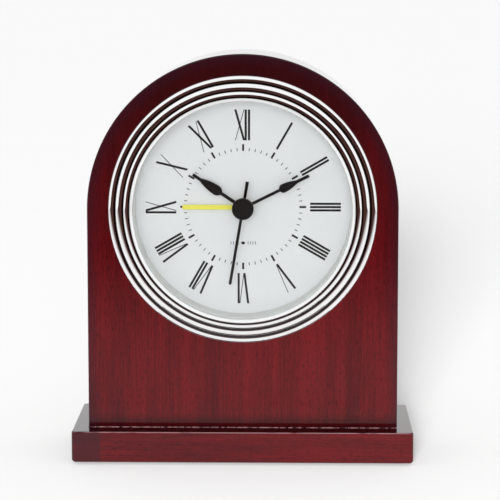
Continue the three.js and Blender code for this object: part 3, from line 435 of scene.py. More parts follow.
def distance_from_centre(recipe):
    """How far a point of the case stands from the dial's centre: above it all round, below it sideways."""
    x, _, z = recipe.axes()
    return recipe.length(x, (z - CENTRE[2]).at_least(0.0))


def case_painted_shade_and_reflection(wood, colour):
    """Painted shade towards the top of the arch, a purple painted reflection at the outer edge, and painted
    shade just over the foot.
    """
    _, _, z = wood.axes()
    # edge: where a purple painted reflection lies along the case's outer edge
    edge = distance_from_centre(wood).steps_between(CASE_HIGH[0] - 5.5 * MM, CASE_HIGH[0] - 0.5 * MM)
    # foot: painted shade just over the case's foot, where it meets the base
    foot = 1 - z.steps_between(CASE_LOW[2] + 1 * MM, CASE_LOW[2] + 6 * MM)
    # painted shade: the case darkens towards the top of the arch
    colour = wood.mix(z.steps_between(PAINTED_SHADE_FROM, PAINTED_SHADE_TO) * 0.88, colour, (0.012, 0.0018, 0.0024))
    colour = wood.mix(foot * 0.7, colour, (0.018, 0.002, 0.003))
    return wood.mix(edge * 0.5, colour, (0.022, 0.006, 0.011))


def base_painted_reflection_and_highlight(wood, colour):
    """A greyer band across the left end and a darker top, both painted reflection, and a pale painted
    highlight on the front arris.
    """
    x, y, z = wood.axes()
    wander = wood.noise(wood.place((0, 0, 900)), 1, 2) * MM
    # end: the left end's greyer band of painted reflection
    end = 1 - (x + wander).steps_between(LEFT_END_REFLECTION_EDGE, LEFT_END_REFLECTION_EDGE + 1 * MM)
    # top: the base's top darkened, a painted reflection of the dark case front in the ledge
    top = z.steps_between(BASE_HIGH[2] - 0.35 * MM, BASE_HIGH[2] - 0.05 * MM)
    colour = wood.mix(end * 0.6, colour, (0.032, 0.008, 0.012))
    colour = wood.mix(top * 0.8, colour, (0.012, 0.0015, 0.002))
    # the pale line along the front arris is a painted highlight, broken up by noise
    from_front = (y - (BASE_LOW[1] + ARRIS_HIGHLIGHT_LINE)).size()
    from_top = (z - (BASE_HIGH[2] - ARRIS_HIGHLIGHT_LINE)).size()
    highlight_breaks = wood.noise(wood.place((140, 900, 900)), 1, 2).steps_between(0.25, 0.6)
    arris_highlight = (1 - from_front.at_least(from_top).steps_between(0.08 * MM, 0.24 * MM)) * highlight_breaks
    return wood.mix(arris_highlight * 0.6, colour, (0.42, 0.25, 0.27))


print("the case darkens from", PAINTED_SHADE_FROM, "to", PAINTED_SHADE_TO, "m up")

# %% [markdown]
# The wood's own figure is four noises on the grain map, each stretched along the grain: slow bands,
# streaks, fibres and the dashes that open into pores. Pores take more stain, so they are darkest.

# %% Rosewood
def rosewood(name, dark, red, band_width_mm, paint_light_and_shade):
    """Wood whose grain runs along the V of the piece's grain map, in metres."""
    wood = Recipe(name, specular_ior_level=0.05, coat_weight=1.0, coat_ior=1.29, coat_roughness=0.03)
    band = 1 / (band_width_mm * MM)
    figure = wood.noise(wood.place((band, band * 0.07, 1), uv=GRAIN), 1, 4, 0.6, 0.35)
    streaks = wood.noise(wood.place((1400, 30, 1), uv=GRAIN), 1, 3, 0.6)
    fibres = wood.noise(wood.place((3800, 260, 1), uv=GRAIN), 1, 2, 0.5)
    dashes = wood.noise(wood.place((2600, 420, 1), uv=GRAIN), 1, 2, 0.5)
    pores = dashes.steps_between(0.57, 0.7)
    tone = figure * 0.42 + streaks * 0.33 + fibres * 0.25
    colour = wood.mix(tone.steps_between(0.34, 0.64), dark, red)
    shadow = tuple(0.4 * c for c in dark)
    wood.set(base_color=paint_light_and_shade(wood, wood.mix(pores * 0.7, colour, shadow)))
    wood.set(roughness=0.12 + fibres * 0.08)
    ripple = wood.noise(wood.place((420, 260, 1), uv=GRAIN), 1, 2, 0.5)
    return wood.bump(ripple * 0.4 - pores * 0.35 + fibres * 0.15, 0.03, 0.5).material


CASE_WOOD = rosewood(
    "rosewood lacquer, upright", (0.055, 0.0026, 0.0042), (0.135, 0.0046, 0.0066), 9, case_painted_shade_and_reflection
)
BASE_WOOD = rosewood(
    "rosewood lacquer, lengthwise", (0.052, 0.003, 0.005), (0.13, 0.0048, 0.007), 6, base_painted_reflection_and_highlight
)
print("finishes:", CASE_WOOD.name, "and", BASE_WOOD.name)

# %% [markdown]
# **Metals, plastics, felt and paint.** None of them is one flat colour. Plated metal has a faint haze
# where it was wiped, turned and rolled metal has fine lines, moulded plastic has a fine matt grain,
# and felt has fibres lying every way.

# %% Metals
def plated(name, colour, roughness, haze):
    """Bright metal, with a haze of uneven gloss."""
    metal = Recipe(name, base_color=colour, metallic=1.0)
    cloud = metal.noise(metal.place((160, 160, 160)), 1, 3)
    return metal.set(roughness=roughness + cloud * haze).material


def drawn(name, colour, roughness, lines=(900, 60, 900)):
    """Rolled or drawn metal, with fine lines along the axis of the smallest scale."""
    metal = Recipe(name, metallic=1.0)
    streak = metal.noise(metal.place(lines), 1, 3, 0.6)
    metal.set(base_color=metal.mix(streak, tuple(0.8 * c for c in colour), colour))
    metal.set(roughness=roughness + streak * 0.2)
    return metal.bump(streak, 0.01, 0.4).material


ZINC = plated("zinc plate", (0.62, 0.63, 0.65), 0.22, 0.2)
STEEL = drawn("bright steel", (0.56, 0.57, 0.58), 0.25)
BRASS = drawn("rolled brass", (0.66, 0.47, 0.2), 0.22, (60, 900, 900))
COPPER = drawn("enamelled copper wire", (0.5, 0.17, 0.06), 0.25, (4200, 60, 60))
print("metals:", [metal.name for metal in (ZINC, STEEL, BRASS, COPPER)])

# %% [markdown]
# Moulds are eroded by sparks, which leaves their plastic with a matt grain. Hand paint is thin and
# nearly level. Felt scatters light off its fibres, and sheen stands for those at the edge.

# %% Plastics, paint and felt
def moulded(name, colour, roughness=0.42, grain_per_mm=2.2):
    """Plastic with the matt spark-eroded grain of a moulded part."""
    plastic = Recipe(name, specular_ior_level=0.45)
    per_metre = grain_per_mm / MM
    grain = plastic.noise(plastic.place((per_metre,) * 3), 1, 2)
    patches = plastic.noise(plastic.place((70, 70, 70)), 1, 2)
    plastic.set(base_color=plastic.mix(patches, tuple(0.85 * c for c in colour), colour))
    plastic.set(roughness=roughness + grain * 0.15)
    return plastic.bump(grain, 0.02, 0.35).material


def painted(name, colour, roughness=0.3):
    """Thin stoved paint, with the least orange peel."""
    paint = Recipe(name, coat_weight=0.25, coat_roughness=0.12)
    peel = paint.noise(paint.place((900, 900, 900)), 1, 2)
    paint.set(base_color=paint.mix(peel, tuple(0.92 * c for c in colour), colour))
    paint.set(roughness=roughness + peel * 0.08)
    return paint.bump(peel, 0.004, 0.3).material


def felted(name, colour):
    """Pressed fibres: a fuzzy surface with lighter and darker threads."""
    felt = Recipe(name, roughness=0.95, sheen_weight=0.4, specular_ior_level=0.1)
    fuzz = felt.noise(felt.place((2600, 2600, 2600)), 1, 4, 0.7, 1.5)
    felt.set(base_color=felt.mix(fuzz, tuple(0.5 * c for c in colour), tuple(1.5 * c for c in colour)))
    return felt.bump(fuzz, 0.15).material


BLACK_PLASTIC = moulded("black moulded plastic", (0.022, 0.022, 0.024))
WHITE_PLASTIC = moulded("white moulded plastic", (0.78, 0.79, 0.77), 0.35)
BOARD_GREEN = moulded("circuit board resist", (0.02, 0.12, 0.04), 0.25, 0.8)
RUBBER = moulded("black rubber", (0.018, 0.018, 0.018), 0.6, 1.2)
BLACK_PAINT = painted("black hand paint", (0.006, 0.006, 0.007))
INK = painted("black printing ink", (0.007, 0.008, 0.009), 0.5)
YELLOW_PAINT = painted("yellow hand paint", (0.8, 0.75, 0.1), 0.4)
FELT = felted("dark green felt", (0.03, 0.06, 0.045))
print("made", len(bpy.data.materials), "materials")

# %% [markdown]
# **Glass.** The crystal should show the dial plainly and carry a thin reflection. A mix of a
# transparent and a mirror shader by the Fresnel law does that, and light passes to the dial.

# %% Glass and the silvered dial
def clear_glass(name):
    """Transparent, with a share of mirror by the Fresnel law, a little less than the bare glass has."""
    glass = Recipe(name)
    fresnel = glass.node("ShaderNodeFresnel", None, {"IOR": 1.45})
    wiped = glass.noise(glass.place((45, 45, 45)), 1, 3)
    clear = glass.node("ShaderNodeBsdfTransparent", None, {"Color": (0.985, 0.99, 0.988)})
    mirror = glass.node("ShaderNodeBsdfGlossy", None, {"Color": (1, 1, 1), "Roughness": 0.01})
    share = fresnel * (0.55 + wiped * 0.1)
    both = glass.node("ShaderNodeMixShader", None, {0: share, 1: clear, 2: mirror})
    out = glass.tree.nodes["Material Output"]
    glass.tree.links.new(both.socket, out.inputs["Surface"])
    glass.tree.nodes.remove(glass.shader)
    return glass.material


def silvered(name):
    """The dial's pearly silver: a fine even grain with a little metal in it."""
    silver = Recipe(name, metallic=0.15, specular_ior_level=0.4)
    grain = silver.noise(silver.place((5000, 5000, 5000)), 1, 2)
    soft = silver.noise(silver.place((30, 30, 30)), 1, 2)
    silver.set(base_color=silver.mix(grain * 0.5 + soft * 0.5, (0.745, 0.76, 0.772), (0.795, 0.81, 0.822)))
    silver.set(roughness=0.42 + grain * 0.1)
    return silver.bump(grain, 0.006, 0.4).material


GLASS = clear_glass("mineral glass")
SILVER = silvered("silvered dial")
print("glass and dial:", GLASS.name, "and", SILVER.name)

# %% [markdown]
# ## The case
# The case is one block: a front face between the round bore and the arch, a rounded arris, the edge
# band that goes up one side, over the top and down the other, the same again behind, and the bore.
# Written as a grid, one direction goes round the arch and the other round the block's section, so
# the surface closes on itself like a tube. The arch is concentric with the dial.

# %% The arched case
BORE_RADIUS = 45.5
CASE_ARRIS = 0.7


def arch_outline(half_width, foot, around=160, up=40, along=60):
    """Anticlockwise from the right-hand foot: up the side, half a circle, down, and along the foot."""
    lift = np.linspace(foot, 0, up, endpoint=False)
    angle = np.linspace(0, np.pi, around)
    drop = np.linspace(0, foot, up + 1)[1:]
    across = np.linspace(-half_width, half_width, along + 1)[1:-1]
    right = np.stack([np.full(up, half_width), lift], -1)
    round_top = half_width * np.stack([np.cos(angle), np.sin(angle)], -1)
    left = np.stack([np.full(up, -half_width), drop], -1)
    foot_line = np.stack([across, np.full(across.size, foot)], -1)
    return np.concatenate([right, round_top, left, foot_line])


def make_case():
    """Rings from the bore out to the edge, bore + share·(edge − bore), and then the arris.

    At angle t on the arris the inset is r·(1 − sin t) and the depth r·(1 − cos t). The back is the
    same rings in the opposite order, at the case's depth less each of their depths.
    """
    depth = depths_of("case_body")[1]
    outline = arch_outline(radius_of("case_body"), (CASE_LOW[2] - CENTRE[2]) / MM)
    heading = np.arctan2(outline[:, 1], outline[:, 0])
    bore = BORE_RADIUS * np.stack([np.cos(heading), np.sin(heading)], -1)
    edge = inset(outline, CASE_ARRIS)
    quarter = np.linspace(0, np.pi / 2, 6)
    face = [bore + share * (edge - bore) for share in (0, 0.5, 0.97)]
    arris = [inset(outline, CASE_ARRIS * (1 - np.sin(turn))) for turn in quarter]
    rings = np.array(face + arris)
    levels = np.concatenate([np.zeros(len(face)), CASE_ARRIS * (1 - np.cos(quarter))])
    rings = np.concatenate([rings, rings[::-1]])
    levels = np.concatenate([levels, depth - levels[::-1]])
    points = placed(rings[..., 0], levels[:, None], rings[..., 1])
    return flat_normals(grid_piece("rosewood_case", points, wrap_rows=True))


case = make_case()

# %% [markdown]
# The veneer on the front and back runs straight up. The band of veneer round the edge was bent over
# the arch, so its grain follows the edge. The grain map says so: it holds (across, along) in metres,
# chosen for each face by the way that the face looks.

# %% The grain maps
def corner_arrays(mesh):
    """Points of each face corner, and the direction of the face that each corner belongs to."""
    points = np.empty(len(mesh.vertices) * 3)
    mesh.vertices.foreach_get("co", points)
    at_corner = np.empty(len(mesh.loops), int)
    mesh.loops.foreach_get("vertex_index", at_corner)
    facing = np.empty(len(mesh.polygons) * 3)
    mesh.polygons.foreach_get("normal", facing)
    sizes = np.empty(len(mesh.polygons), int)
    mesh.polygons.foreach_get("loop_total", sizes)
    return points.reshape(-1, 3)[at_corner], np.repeat(facing.reshape(-1, 3), sizes, 0)


def write_map(mesh, across, along):
    """Keeps (across, along) of every face corner in the piece's grain map."""
    layer = mesh.uv_layers.new(name=GRAIN)
    layer.data.foreach_set("uv", np.stack([across, along], -1).astype(np.float32).ravel())


def grain_round_arch(case):
    """Up the front and back. On the edge band, along the height, then along the arc of the top."""
    spot, facing = corner_arrays(case.data)
    x, y, z = (spot - CENTRE).T
    arc = np.arctan2(np.maximum(z, 0), np.abs(x)) * (CASE_HIGH[0] - CENTRE[0])
    along_edge = np.where(z > 0, arc, z) * np.sign(x + 1e-9)
    flat = np.abs(facing[:, 1]) > 0.7
    write_map(case.data, np.where(flat, x, y + 0.37), np.where(flat, z, along_edge))


grain_round_arch(case)
stands_for(case, CASE_WOOD, "case", "rosewood", "case_body")

# %% [markdown]
# ## The base
# A slab with small rounded corners in plan, and rounded top and bottom arrises. The outline is carried
# up through its levels and closed by one flat face at each end. Two countersunk holes underneath
# let in the screws that hold the case.

# %% The base board
BASE_CORNER = 1.6
BASE_TOP_ARRIS, BASE_FOOT_ARRIS = 0.6, 1.3
SCREW_HOLE, SCREW_SINK = 2.1, 1.9  # radius of the hole, and depth of the countersink


def upright_plate(name, outline, bottom, top, lower_arris, upper_arris, steps=5):
    """As a plate, but carried up: an anticlockwise outline in X and Y, in millimetres."""
    quarter = np.linspace(0, np.pi / 2, steps + 1)
    insets = [lower_arris * (1 - np.sin(quarter)), upper_arris * (1 - np.sin(quarter[::-1]))]
    heights = [bottom + lower_arris * (1 - np.cos(quarter)), top - upper_arris * (1 - np.cos(quarter[::-1]))]
    rows = [
        np.column_stack([inset(outline, distance), np.full(len(outline), height)])
        for distance, height in zip(np.concatenate(insets), np.concatenate(heights))
    ]
    return flat_normals(grid_piece(name, np.array(rows) * MM, caps=(0, -1)))


def divided(path, most, closed=True):
    """The path with its long stretches divided, so that none is longer than most."""
    parts = []
    for start, end in zip(path, np.roll(path, -1, 0) if closed else path[1:]):
        count = max(1, int(np.ceil(np.linalg.norm(end - start) / most)))
        parts.append(start + (end - start) * np.linspace(0, 1, count, endpoint=False)[:, None])
    return np.concatenate(parts if closed else [*parts, path[-1:]])


def countersink(screw, bottom):
    """A drill: rings of x + r·cos a and y + r·sin a, narrowing under the head to the hole's radius."""
    low, high = box_of(screw)
    x, y, _ = (low + high) / 2
    head = radius_of(screw) + 0.15
    angle = np.linspace(0, 2 * np.pi, 48, endpoint=False)
    radius = np.array([head + 0.3, head, SCREW_HOLE, SCREW_HOLE])[:, None] * MM
    height = np.array([bottom - 1, bottom + 0.05, bottom + SCREW_SINK, bottom + 8])[:, None] * MM
    rings = np.broadcast_arrays(x + radius * np.cos(angle), y + radius * np.sin(angle), height)
    return grid_piece("cone", np.stack(rings, -1), caps=(0, -1))


def make_base():
    """Four rounded corners, with the long sides divided, carried up through the levels."""
    (left, front, bottom), (right, back, top) = BASE_LOW / MM, BASE_HIGH / MM
    corners = [(x, y, BASE_CORNER) for x, y in ((left, front), (right, front), (right, back), (left, back))]
    outline = divided(rounded(corners, 10), 6)
    base = upright_plate("rosewood_base", outline, bottom, top, BASE_FOOT_ARRIS, BASE_TOP_ARRIS)
    return drilled(base, *[countersink(screw, bottom) for screw in ("base_screw_1", "base_screw_2")])


def grain_along(piece):
    """Along X everywhere but on the two ends, where it runs along Y."""
    spot, facing = corner_arrays(piece.data)
    x, y, z = spot.T
    end = np.abs(facing[:, 0]) > 0.75
    level = np.abs(facing[:, 2]) > 0.7
    across = np.where(level, y, z + 0.21)
    write_map(piece.data, across, np.where(end, y + 0.5, x))


base = make_base()
grain_along(base)
stands_for(base, BASE_WOOD, "case", "rosewood", "base_board")

# %% [markdown]
# The case sits on the base in a thin bead of lacquer. The bead is real, and its uneven pale line is a
# painted highlight in its colour. It is a tube whose radius wanders a little, laid round the foot of the
# case.

# %% The bead of lacquer round the foot
BEAD_RADIUS, BEAD_LIFT = 0.17, 0.06  # and how far its middle stands above the base


def lacquer_bead():
    """A tube along the foot's outline, its radius multiplied by one plus two slow waves."""
    (left, front, _), (right, back, _) = CASE_LOW / MM, CASE_HIGH / MM
    foot = [(x, y, 0.5) for x, y in ((left, front), (right, front), (right, back), (left, back))]
    path = divided(rounded(foot, 6), 0.9)
    ahead = np.roll(path, -1, 0) - np.roll(path, 1, 0)
    ahead /= np.linalg.norm(ahead, axis=1)[:, None]
    walked = np.arange(len(path))
    beats = 0.28 * np.sin(walked * 0.71) * np.sin(walked * 0.17 + 1)
    radius = BEAD_RADIUS * (1 + beats + 0.15 * np.sin(walked * 1.9))[:, None]
    turn = np.linspace(0, 2 * np.pi, 10, endpoint=False)
    x = path[:, 0, None] + ahead[:, 1, None] * radius * np.cos(turn)
    y = path[:, 1, None] - ahead[:, 0, None] * radius * np.cos(turn)
    height = BASE_HIGH[2] / MM + BEAD_LIFT + radius * np.sin(turn)
    return grid_piece("lacquer_bead", np.stack([x, y, height], -1) * MM, wrap_rows=True)


def bead_painted_highlight(name):
    """Red lacquer with pale smears of painted highlight, and rougher where they lie."""
    bead = Recipe(name, coat_weight=0.6, coat_roughness=0.08)
    highlight_smear = bead.noise(bead.place((520, 520, 520)), 1, 3, 0.7)
    bead.set(base_color=bead.mix(highlight_smear.steps_between(0.42, 0.56), (0.03, 0.003, 0.005), (0.4, 0.19, 0.2)))
    return bead.set(roughness=0.15 + highlight_smear * 0.3).material


stands_for(lacquer_bead(), bead_painted_highlight("lacquer bead, painted highlight"), "case", "rosewood")

# %% [markdown]
# ## Felt feet
# The feet are pressed discs with a soft edge below. The base's two screws are out of sight above
# them, so they keep the shape that the packed model gives them.

# %% Under the base
def upright_disc(name, node, arris):
    """Rings along Z, from the middle of the underside out, round the arris, and over the top.

    On the arris the radius is r − a·(1 − sin t), and the height a·(1 − cos t).
    """
    low, high = box_of(node)
    middle, radius = (low + high) / 2, (high[0] - low[0]) / 2
    quarter = np.linspace(0, np.pi / 2, 6)
    under = np.linspace(0, 1, 12, endpoint=False) * (radius - arris)
    r = np.concatenate([under, radius - arris * (1 - np.sin(quarter)), [radius, 0]])
    rise = arris * (1 - np.cos(quarter))
    z = np.concatenate([np.full(under.size, low[2]), low[2] + rise, [high[2], high[2]]])
    angle = np.linspace(0, 2 * np.pi, 64, endpoint=False)[:, None]
    points = np.broadcast_arrays(middle[0] + r * np.cos(angle), middle[1] + r * np.sin(angle), z)
    return grid_piece(name, np.stack(points, -1), wrap_rows=True, wrap_columns=False)


for number in range(1, 5):
    foot = upright_disc(f"felt_disc_{number}", f"felt_foot_{number}", 0.25 * MM)
    stands_for(foot, FELT, "case", "felt", f"felt_foot_{number}")

# %% [markdown]
# ## The chrome bezel
# Three steps rise towards the glass. Each has a convex outer flank, which mirrors the pale room, and
# a nearly flat crest, which mirrors the dark camera side. A groove parts each from the next, painted
# black as a painted reflection, and last comes the lip that stands highest and slopes in to the glass.
# Turned round the dial, a profile with those few corners gives all of the bright and dark rings.

# %% The bezel
BEZEL_RADIUS = radius_of("bezel_ring")
BEZEL_REACH = -depths_of("bezel_ring")[0]
BEZEL_FOOT = 0.3  # height of the outside edge
STEPS = [(BEZEL_RADIUS, 49.4), (48.65, 46.2), (45.55, 43.8)]  # outer and inner radius of each
FLANK_SLOPE, CREST_SLOPE = math.radians(60), math.radians(9)
LIP_EDGE, LIP_FALL = 43.1, 0.9
LIP_WALL = LIP_EDGE + 0.15  # where the wall behind the lip meets the last groove
GLASS_OPENING = radius_of("dial") - 0.7
GLASS_SEAT = (43.85, -1.75)  # radius of the rebate for the glass, and its depth
OFF_WOOD = 0.02  # keeps the flange's back off the face of the case


def bezel_step(outer, inner, foot, steps=22):
    """One arc, from a flank that climbs at 60° to a crest that has begun to fall at 9°.

    For a slope s the arc stands at outer − R·(sin 60° − sin s), foot + R·(cos s − cos 60°).
    """
    slope = np.linspace(FLANK_SLOPE, -CREST_SLOPE, steps)
    radius = (outer - inner) / (math.sin(FLANK_SLOPE) + math.sin(CREST_SLOPE))
    across = outer - radius * (math.sin(FLANK_SLOPE) - np.sin(slope))
    height = foot + radius * (np.cos(slope) - math.cos(FLANK_SLOPE))
    return np.stack([across, -height], -1)


def make_bezel():
    """Each step starts at the height where the last one ended, and the lip follows."""
    parts = [np.array([[BEZEL_RADIUS, -OFF_WOOD]])]
    level = BEZEL_FOOT
    for outer, inner in STEPS:
        parts.append(bezel_step(outer, inner, level))
        level = -parts[-1][-1, 1]
    corners = [
        (STEPS[-1][1], -level, 0),
        (LIP_WALL, -level, 0),
        (LIP_EDGE, -BEZEL_REACH, 0.12),
        (GLASS_OPENING, LIP_FALL - BEZEL_REACH, 0.15),
        (GLASS_OPENING, GLASS_SEAT[1], 0.1),
        (*GLASS_SEAT, 0),
    ]
    parts.append(rounded(corners, 8, closed=False)[1:])
    parts.append(np.array([[GLASS_SEAT[0], -OFF_WOOD]]))
    return turned("chrome_bezel", np.concatenate(parts), around=288, smooth_under=28)


bezel = flat_normals(make_bezel())

# %% [markdown]
# The finish is one chrome for the whole ring. Where a groove lies is a question of distance from the
# dial's centre, and so is the satin slope inside the lip, so both are masks on that distance.

# %% The bezel's finish
def bezel_finish(name):
    """Chrome, bright on the steps, satin on the slope inside the lip, and painted black in the grooves as a
    painted reflection.
    """
    chrome = Recipe(name, metallic=1.0)
    x, _, z = chrome.axes()
    reach = chrome.length(x, z - CENTRE[2])
    outsides = [inner for _, inner in STEPS]
    insides = [outer for outer, _ in STEPS[1:]] + [LIP_WALL]
    # the grooves' black is a painted reflection, a mask on the distance from the dial's centre
    groove_painted_reflection = 0.0
    for outside, inside in zip(outsides, insides):
        away = (reach - (outside + inside) / 2 * MM).size()
        half = (outside - inside) / 2
        groove_painted_reflection = groove_painted_reflection + (1 - away.steps_between((half - 0.02) * MM, (half + 0.06) * MM))
    chrome.set(base_color=chrome.mix(groove_painted_reflection * 0.95, (0.96, 0.963, 0.966), (0.02, 0.015, 0.016)))
    satin = 1 - reach.steps_between((LIP_EDGE - 0.15) * MM, LIP_EDGE * MM)
    haze = chrome.noise(chrome.place((160, 160, 160)), 1, 3)
    return chrome.set(roughness=0.03 + haze * 0.03 + satin * 0.1).material


stands_for(bezel, bezel_finish("chrome plate, satin inside"), "case", "chrome", "bezel_ring")

# %% [markdown]
# ## Glass, spacer and dial
# The crystal is a flat disc with a ground edge. Behind it a white ring holds it off the dial, and its
# inside wall shows as a bright rim. The dial is a thin disc with a hole for the hands' tubes.

# %% Crystal, spacer ring and dial
SPACER_WALL = 1
DIAL_HOLE = 2.7

crystal_section = washer(0, radius_of("crystal"), *depths_of("crystal"), (0, 0.25, 0.25, 0))
crystal = flat_normals(turned("crystal_disc", crystal_section, closed=False))
stands_for(crystal, GLASS, "case", "glass", "crystal")

spacer_outside = radius_of("spacer_ring")
spacer_inside = spacer_outside - SPACER_WALL
spacer_section = washer(spacer_inside, spacer_outside, *depths_of("spacer_ring"), (0.25, 0.1, 0.1, 0.15))
spacer = flat_normals(turned("white_spacer", spacer_section))
stands_for(spacer, WHITE_PLASTIC, "case", "white_plastic", "spacer_ring")

dial_section = washer(DIAL_HOLE, radius_of("dial"), *depths_of("dial"), (0.08, 0.1, 0.1, 0.08))
dial = flat_normals(turned("silvered_dial", dial_section))
stands_for(dial, SILVER, "case", "silvered_dial", "dial")

# %% [markdown]
# ## Printing on the dial
# The hour figures are roman, drawn with a thick and a thin stroke like a pen's, and each stands with
# its foot towards the centre. They are long and narrow: every stroke runs the full height of the
# figure. The strokes are thin flat plates a few hundredths of a millimetre proud of the dial, as
# screen-printed ink is. A figure is a list of strokes, each from its outer to its inner end.

# %% The strokes of each roman figure
FIGURE_TOP, FIGURE_FOOT = 37.8, 25.9
THICK, THIN = 0.84, 0.27
BAR_PITCH = 1.28


def bars(first, count):
    """Upright strokes, a pitch apart from each other."""
    return [(first + i * BAR_PITCH, first + i * BAR_PITCH, THICK) for i in range(count)]


def vee(left, right):
    """Two strokes that meet at the foot, the left one thick."""
    middle = (left + right) / 2
    return [(left, middle - 0.12, THICK), (right, middle + 0.12, THIN)]


def cross(left, right):
    """Two strokes that cross in the middle, thick from top left to foot right."""
    return [(left, right, THICK), (right, left, THIN)]


FIGURES = {
    1: bars(0, 1),
    2: bars(-0.64, 2),
    3: bars(-1.28, 3),
    4: bars(-1.92, 4),
    5: vee(-1.6, 1.6),
    6: vee(-1.95, 1.25) + bars(1.75, 1),
    7: vee(-2.6, 0.5) + bars(1.1, 2),
    8: vee(-3.2, -0.2) + bars(0.45, 3),
    9: bars(-2.2, 1) + cross(-1.5, 1.9),
    10: cross(-1.75, 1.75),
    11: cross(-2.5, 0.8) + bars(1.55, 1),
    12: cross(-3.0, 0.35) + bars(1.0, 2),
}

print(len(FIGURES), "figures with", sum(len(strokes) for strokes in FIGURES.values()), "strokes")

# %% [markdown]
# Each stroke becomes a four-cornered plate: across the stroke the corners stand half its width from
# its middle line, and it is cut off square to the radius, top and bottom. The minute track and the
# small ornament are the same plates, so one function prints them all.

# %% Print the dial
PRINT_PROUD = 0.03
DIAL_FACE = depths_of("dial")[0]


def strokes_at(hour_angle, strokes, top, foot):
    """Corners [stroke, 4, (x, z)] of strokes given as (x at the top, x at the foot, width)."""
    x_top, x_foot, width = np.array(strokes, float).T
    slant = np.hypot(1, (x_top - x_foot) / (top - foot))
    half = width * slant / 2
    corner_x = np.stack([x_top - half, x_foot - half, x_foot + half, x_top + half], -1)
    corner_z = np.broadcast_to([top, foot, foot, top], corner_x.shape)
    cos, sin = math.cos(hour_angle), math.sin(hour_angle)
    return np.stack([corner_x * cos + corner_z * sin, corner_z * cos - corner_x * sin], -1)


def printed(name, quads, ink):
    """Boxes from corners [n, 4, (x, z)], standing a little proud of the dial and a little into it."""
    count = len(quads)
    faces_of_ink = (DIAL_FACE - PRINT_PROUD, DIAL_FACE + PRINT_PROUD)
    points = np.concatenate([placed(quads[..., 0], depth, quads[..., 1]) for depth in faces_of_ink], 1)
    box_faces = np.array([[0, 1, 2, 3], [7, 6, 5, 4], [0, 4, 5, 1], [1, 5, 6, 2], [2, 6, 7, 3], [3, 7, 4, 0]])
    faces = (box_faces[None] + 8 * np.arange(count)[:, None, None]).reshape(-1, 4)
    piece = new_piece(name, points, faces, smooth_under=20)
    return stands_for(piece, ink, "case", "black_hands")


hour_quads = [
    strokes_at(math.radians(30 * hour), strokes, FIGURE_TOP, FIGURE_FOOT) for hour, strokes in FIGURES.items()
]
printed("dial_figures", np.concatenate(hour_quads), INK)

TRACK_FOOT, MINUTE_TOP, HOUR_TOP = 21.8, 23.0, 24.4
ticks = [
    strokes_at(math.radians(6 * minute), [(0, 0, width)], top, TRACK_FOOT)
    for minute in range(60)
    for width, top in [(0.3, MINUTE_TOP) if minute % 5 else (0.78, HOUR_TOP)]
]
printed("dial_minute_track", np.concatenate(ticks), INK)

# %% [markdown]
# Under the centre, where a maker would print a word, stands a small ornament with no meaning: a
# lozenge between two rows of short upright dashes.

# %% The ornament
ORNAMENT_Z = -14.1  # its middle line, from the dial's centre
DASH_TALL, DASH_WIDE, DASH_PITCH, DASH_FIRST = 1.24, 0.22, 0.95, 1.9
LOZENGE_WIDE, LOZENGE_TALL = 1.9, 1.4

ends = (ORNAMENT_Z + DASH_TALL / 2, ORNAMENT_Z - DASH_TALL / 2)
places = [side * (DASH_FIRST + DASH_PITCH * i) for side in (-1, 1) for i in range(4)]
dashes = [strokes_at(0, [(place, place, DASH_WIDE)], *ends) for place in places]
points_of_lozenge = np.array([[-1, 0], [0, -1], [1, 0], [0, 1]]) * [LOZENGE_WIDE / 2, LOZENGE_TALL / 2]
lozenge = points_of_lozenge[None] + [0, ORNAMENT_Z]
printed("dial_ornament", np.concatenate([*dashes, lozenge]), INK)

# %% [markdown]
# ## The hands
# The hour and minute hands are spades: a narrow arm, a leaf with curved sides, and a bar for a tip.
# Half an outline is enough, because the other half is its mirror image. The curves are quadratic
# ones, a start, a control point and an end blended by (1-t)², 2t(1-t) and t².

# %% Outlines of the hands
def bend(start, control, end, steps=12):
    """A quadratic curve from start to end, without its last point."""
    t = np.linspace(0, 1, steps, endpoint=False)[:, None]
    start, control, end = (np.array(p, float) for p in (start, control, end))
    return (1 - t) ** 2 * start + 2 * t * (1 - t) * control + t**2 * end


def mirrored(right_side):
    """Right half from the foot up, then its mirror image back down: anticlockwise."""
    return np.concatenate([right_side, right_side[::-1] * [-1, 1]])


def spade(length, arm, start, widest, end, width, collar, tip=1.2):
    """Half the collar's circle, the arm, the leaf's two curves, and the tip."""
    meets = math.asin(min(1, arm / 2 / collar))
    sweep = np.linspace(np.pi, meets, 24)
    ring = collar * np.stack([np.sin(sweep), np.cos(sweep)], -1)
    shoulder = start + (widest - start) / 3
    waist = widest + (end - widest) / 2
    swell = bend((arm / 2, start), (width / 2, shoulder), (width / 2, widest))
    narrow = bend((width / 2, widest), (width / 2, waist), (tip / 2, end))
    return mirrored(np.concatenate([ring, swell, narrow, [[tip / 2, end], [tip / 2, length]]]))


def turned_clockwise(outline, degrees):
    """Clockwise as the dial is read: twelve o'clock goes towards three."""
    cos, sin = math.cos(math.radians(degrees)), math.sin(math.radians(degrees))
    x, z = outline.T
    return np.stack([x * cos + z * sin, z * cos - x * sin], -1)


def hand(name, node, outline, degrees, body, slot, finish):
    """A plate of that outline, turned to its hour, as deep as the node that it stands for."""
    piece = plate(name, turned_clockwise(outline, degrees), *depths_of(node))
    return stands_for(piece, finish, body, slot, node)


print("a curve of 12 points starts at", bend((0, 0), (1, 0), (1, 1))[0])

# %% [markdown]
# Lengths are from the centre. The hour hand is shorter, wider and sits on the bigger collar, because
# its tube goes round the minute hand's. The alarm hand is a plain pointer behind them both.

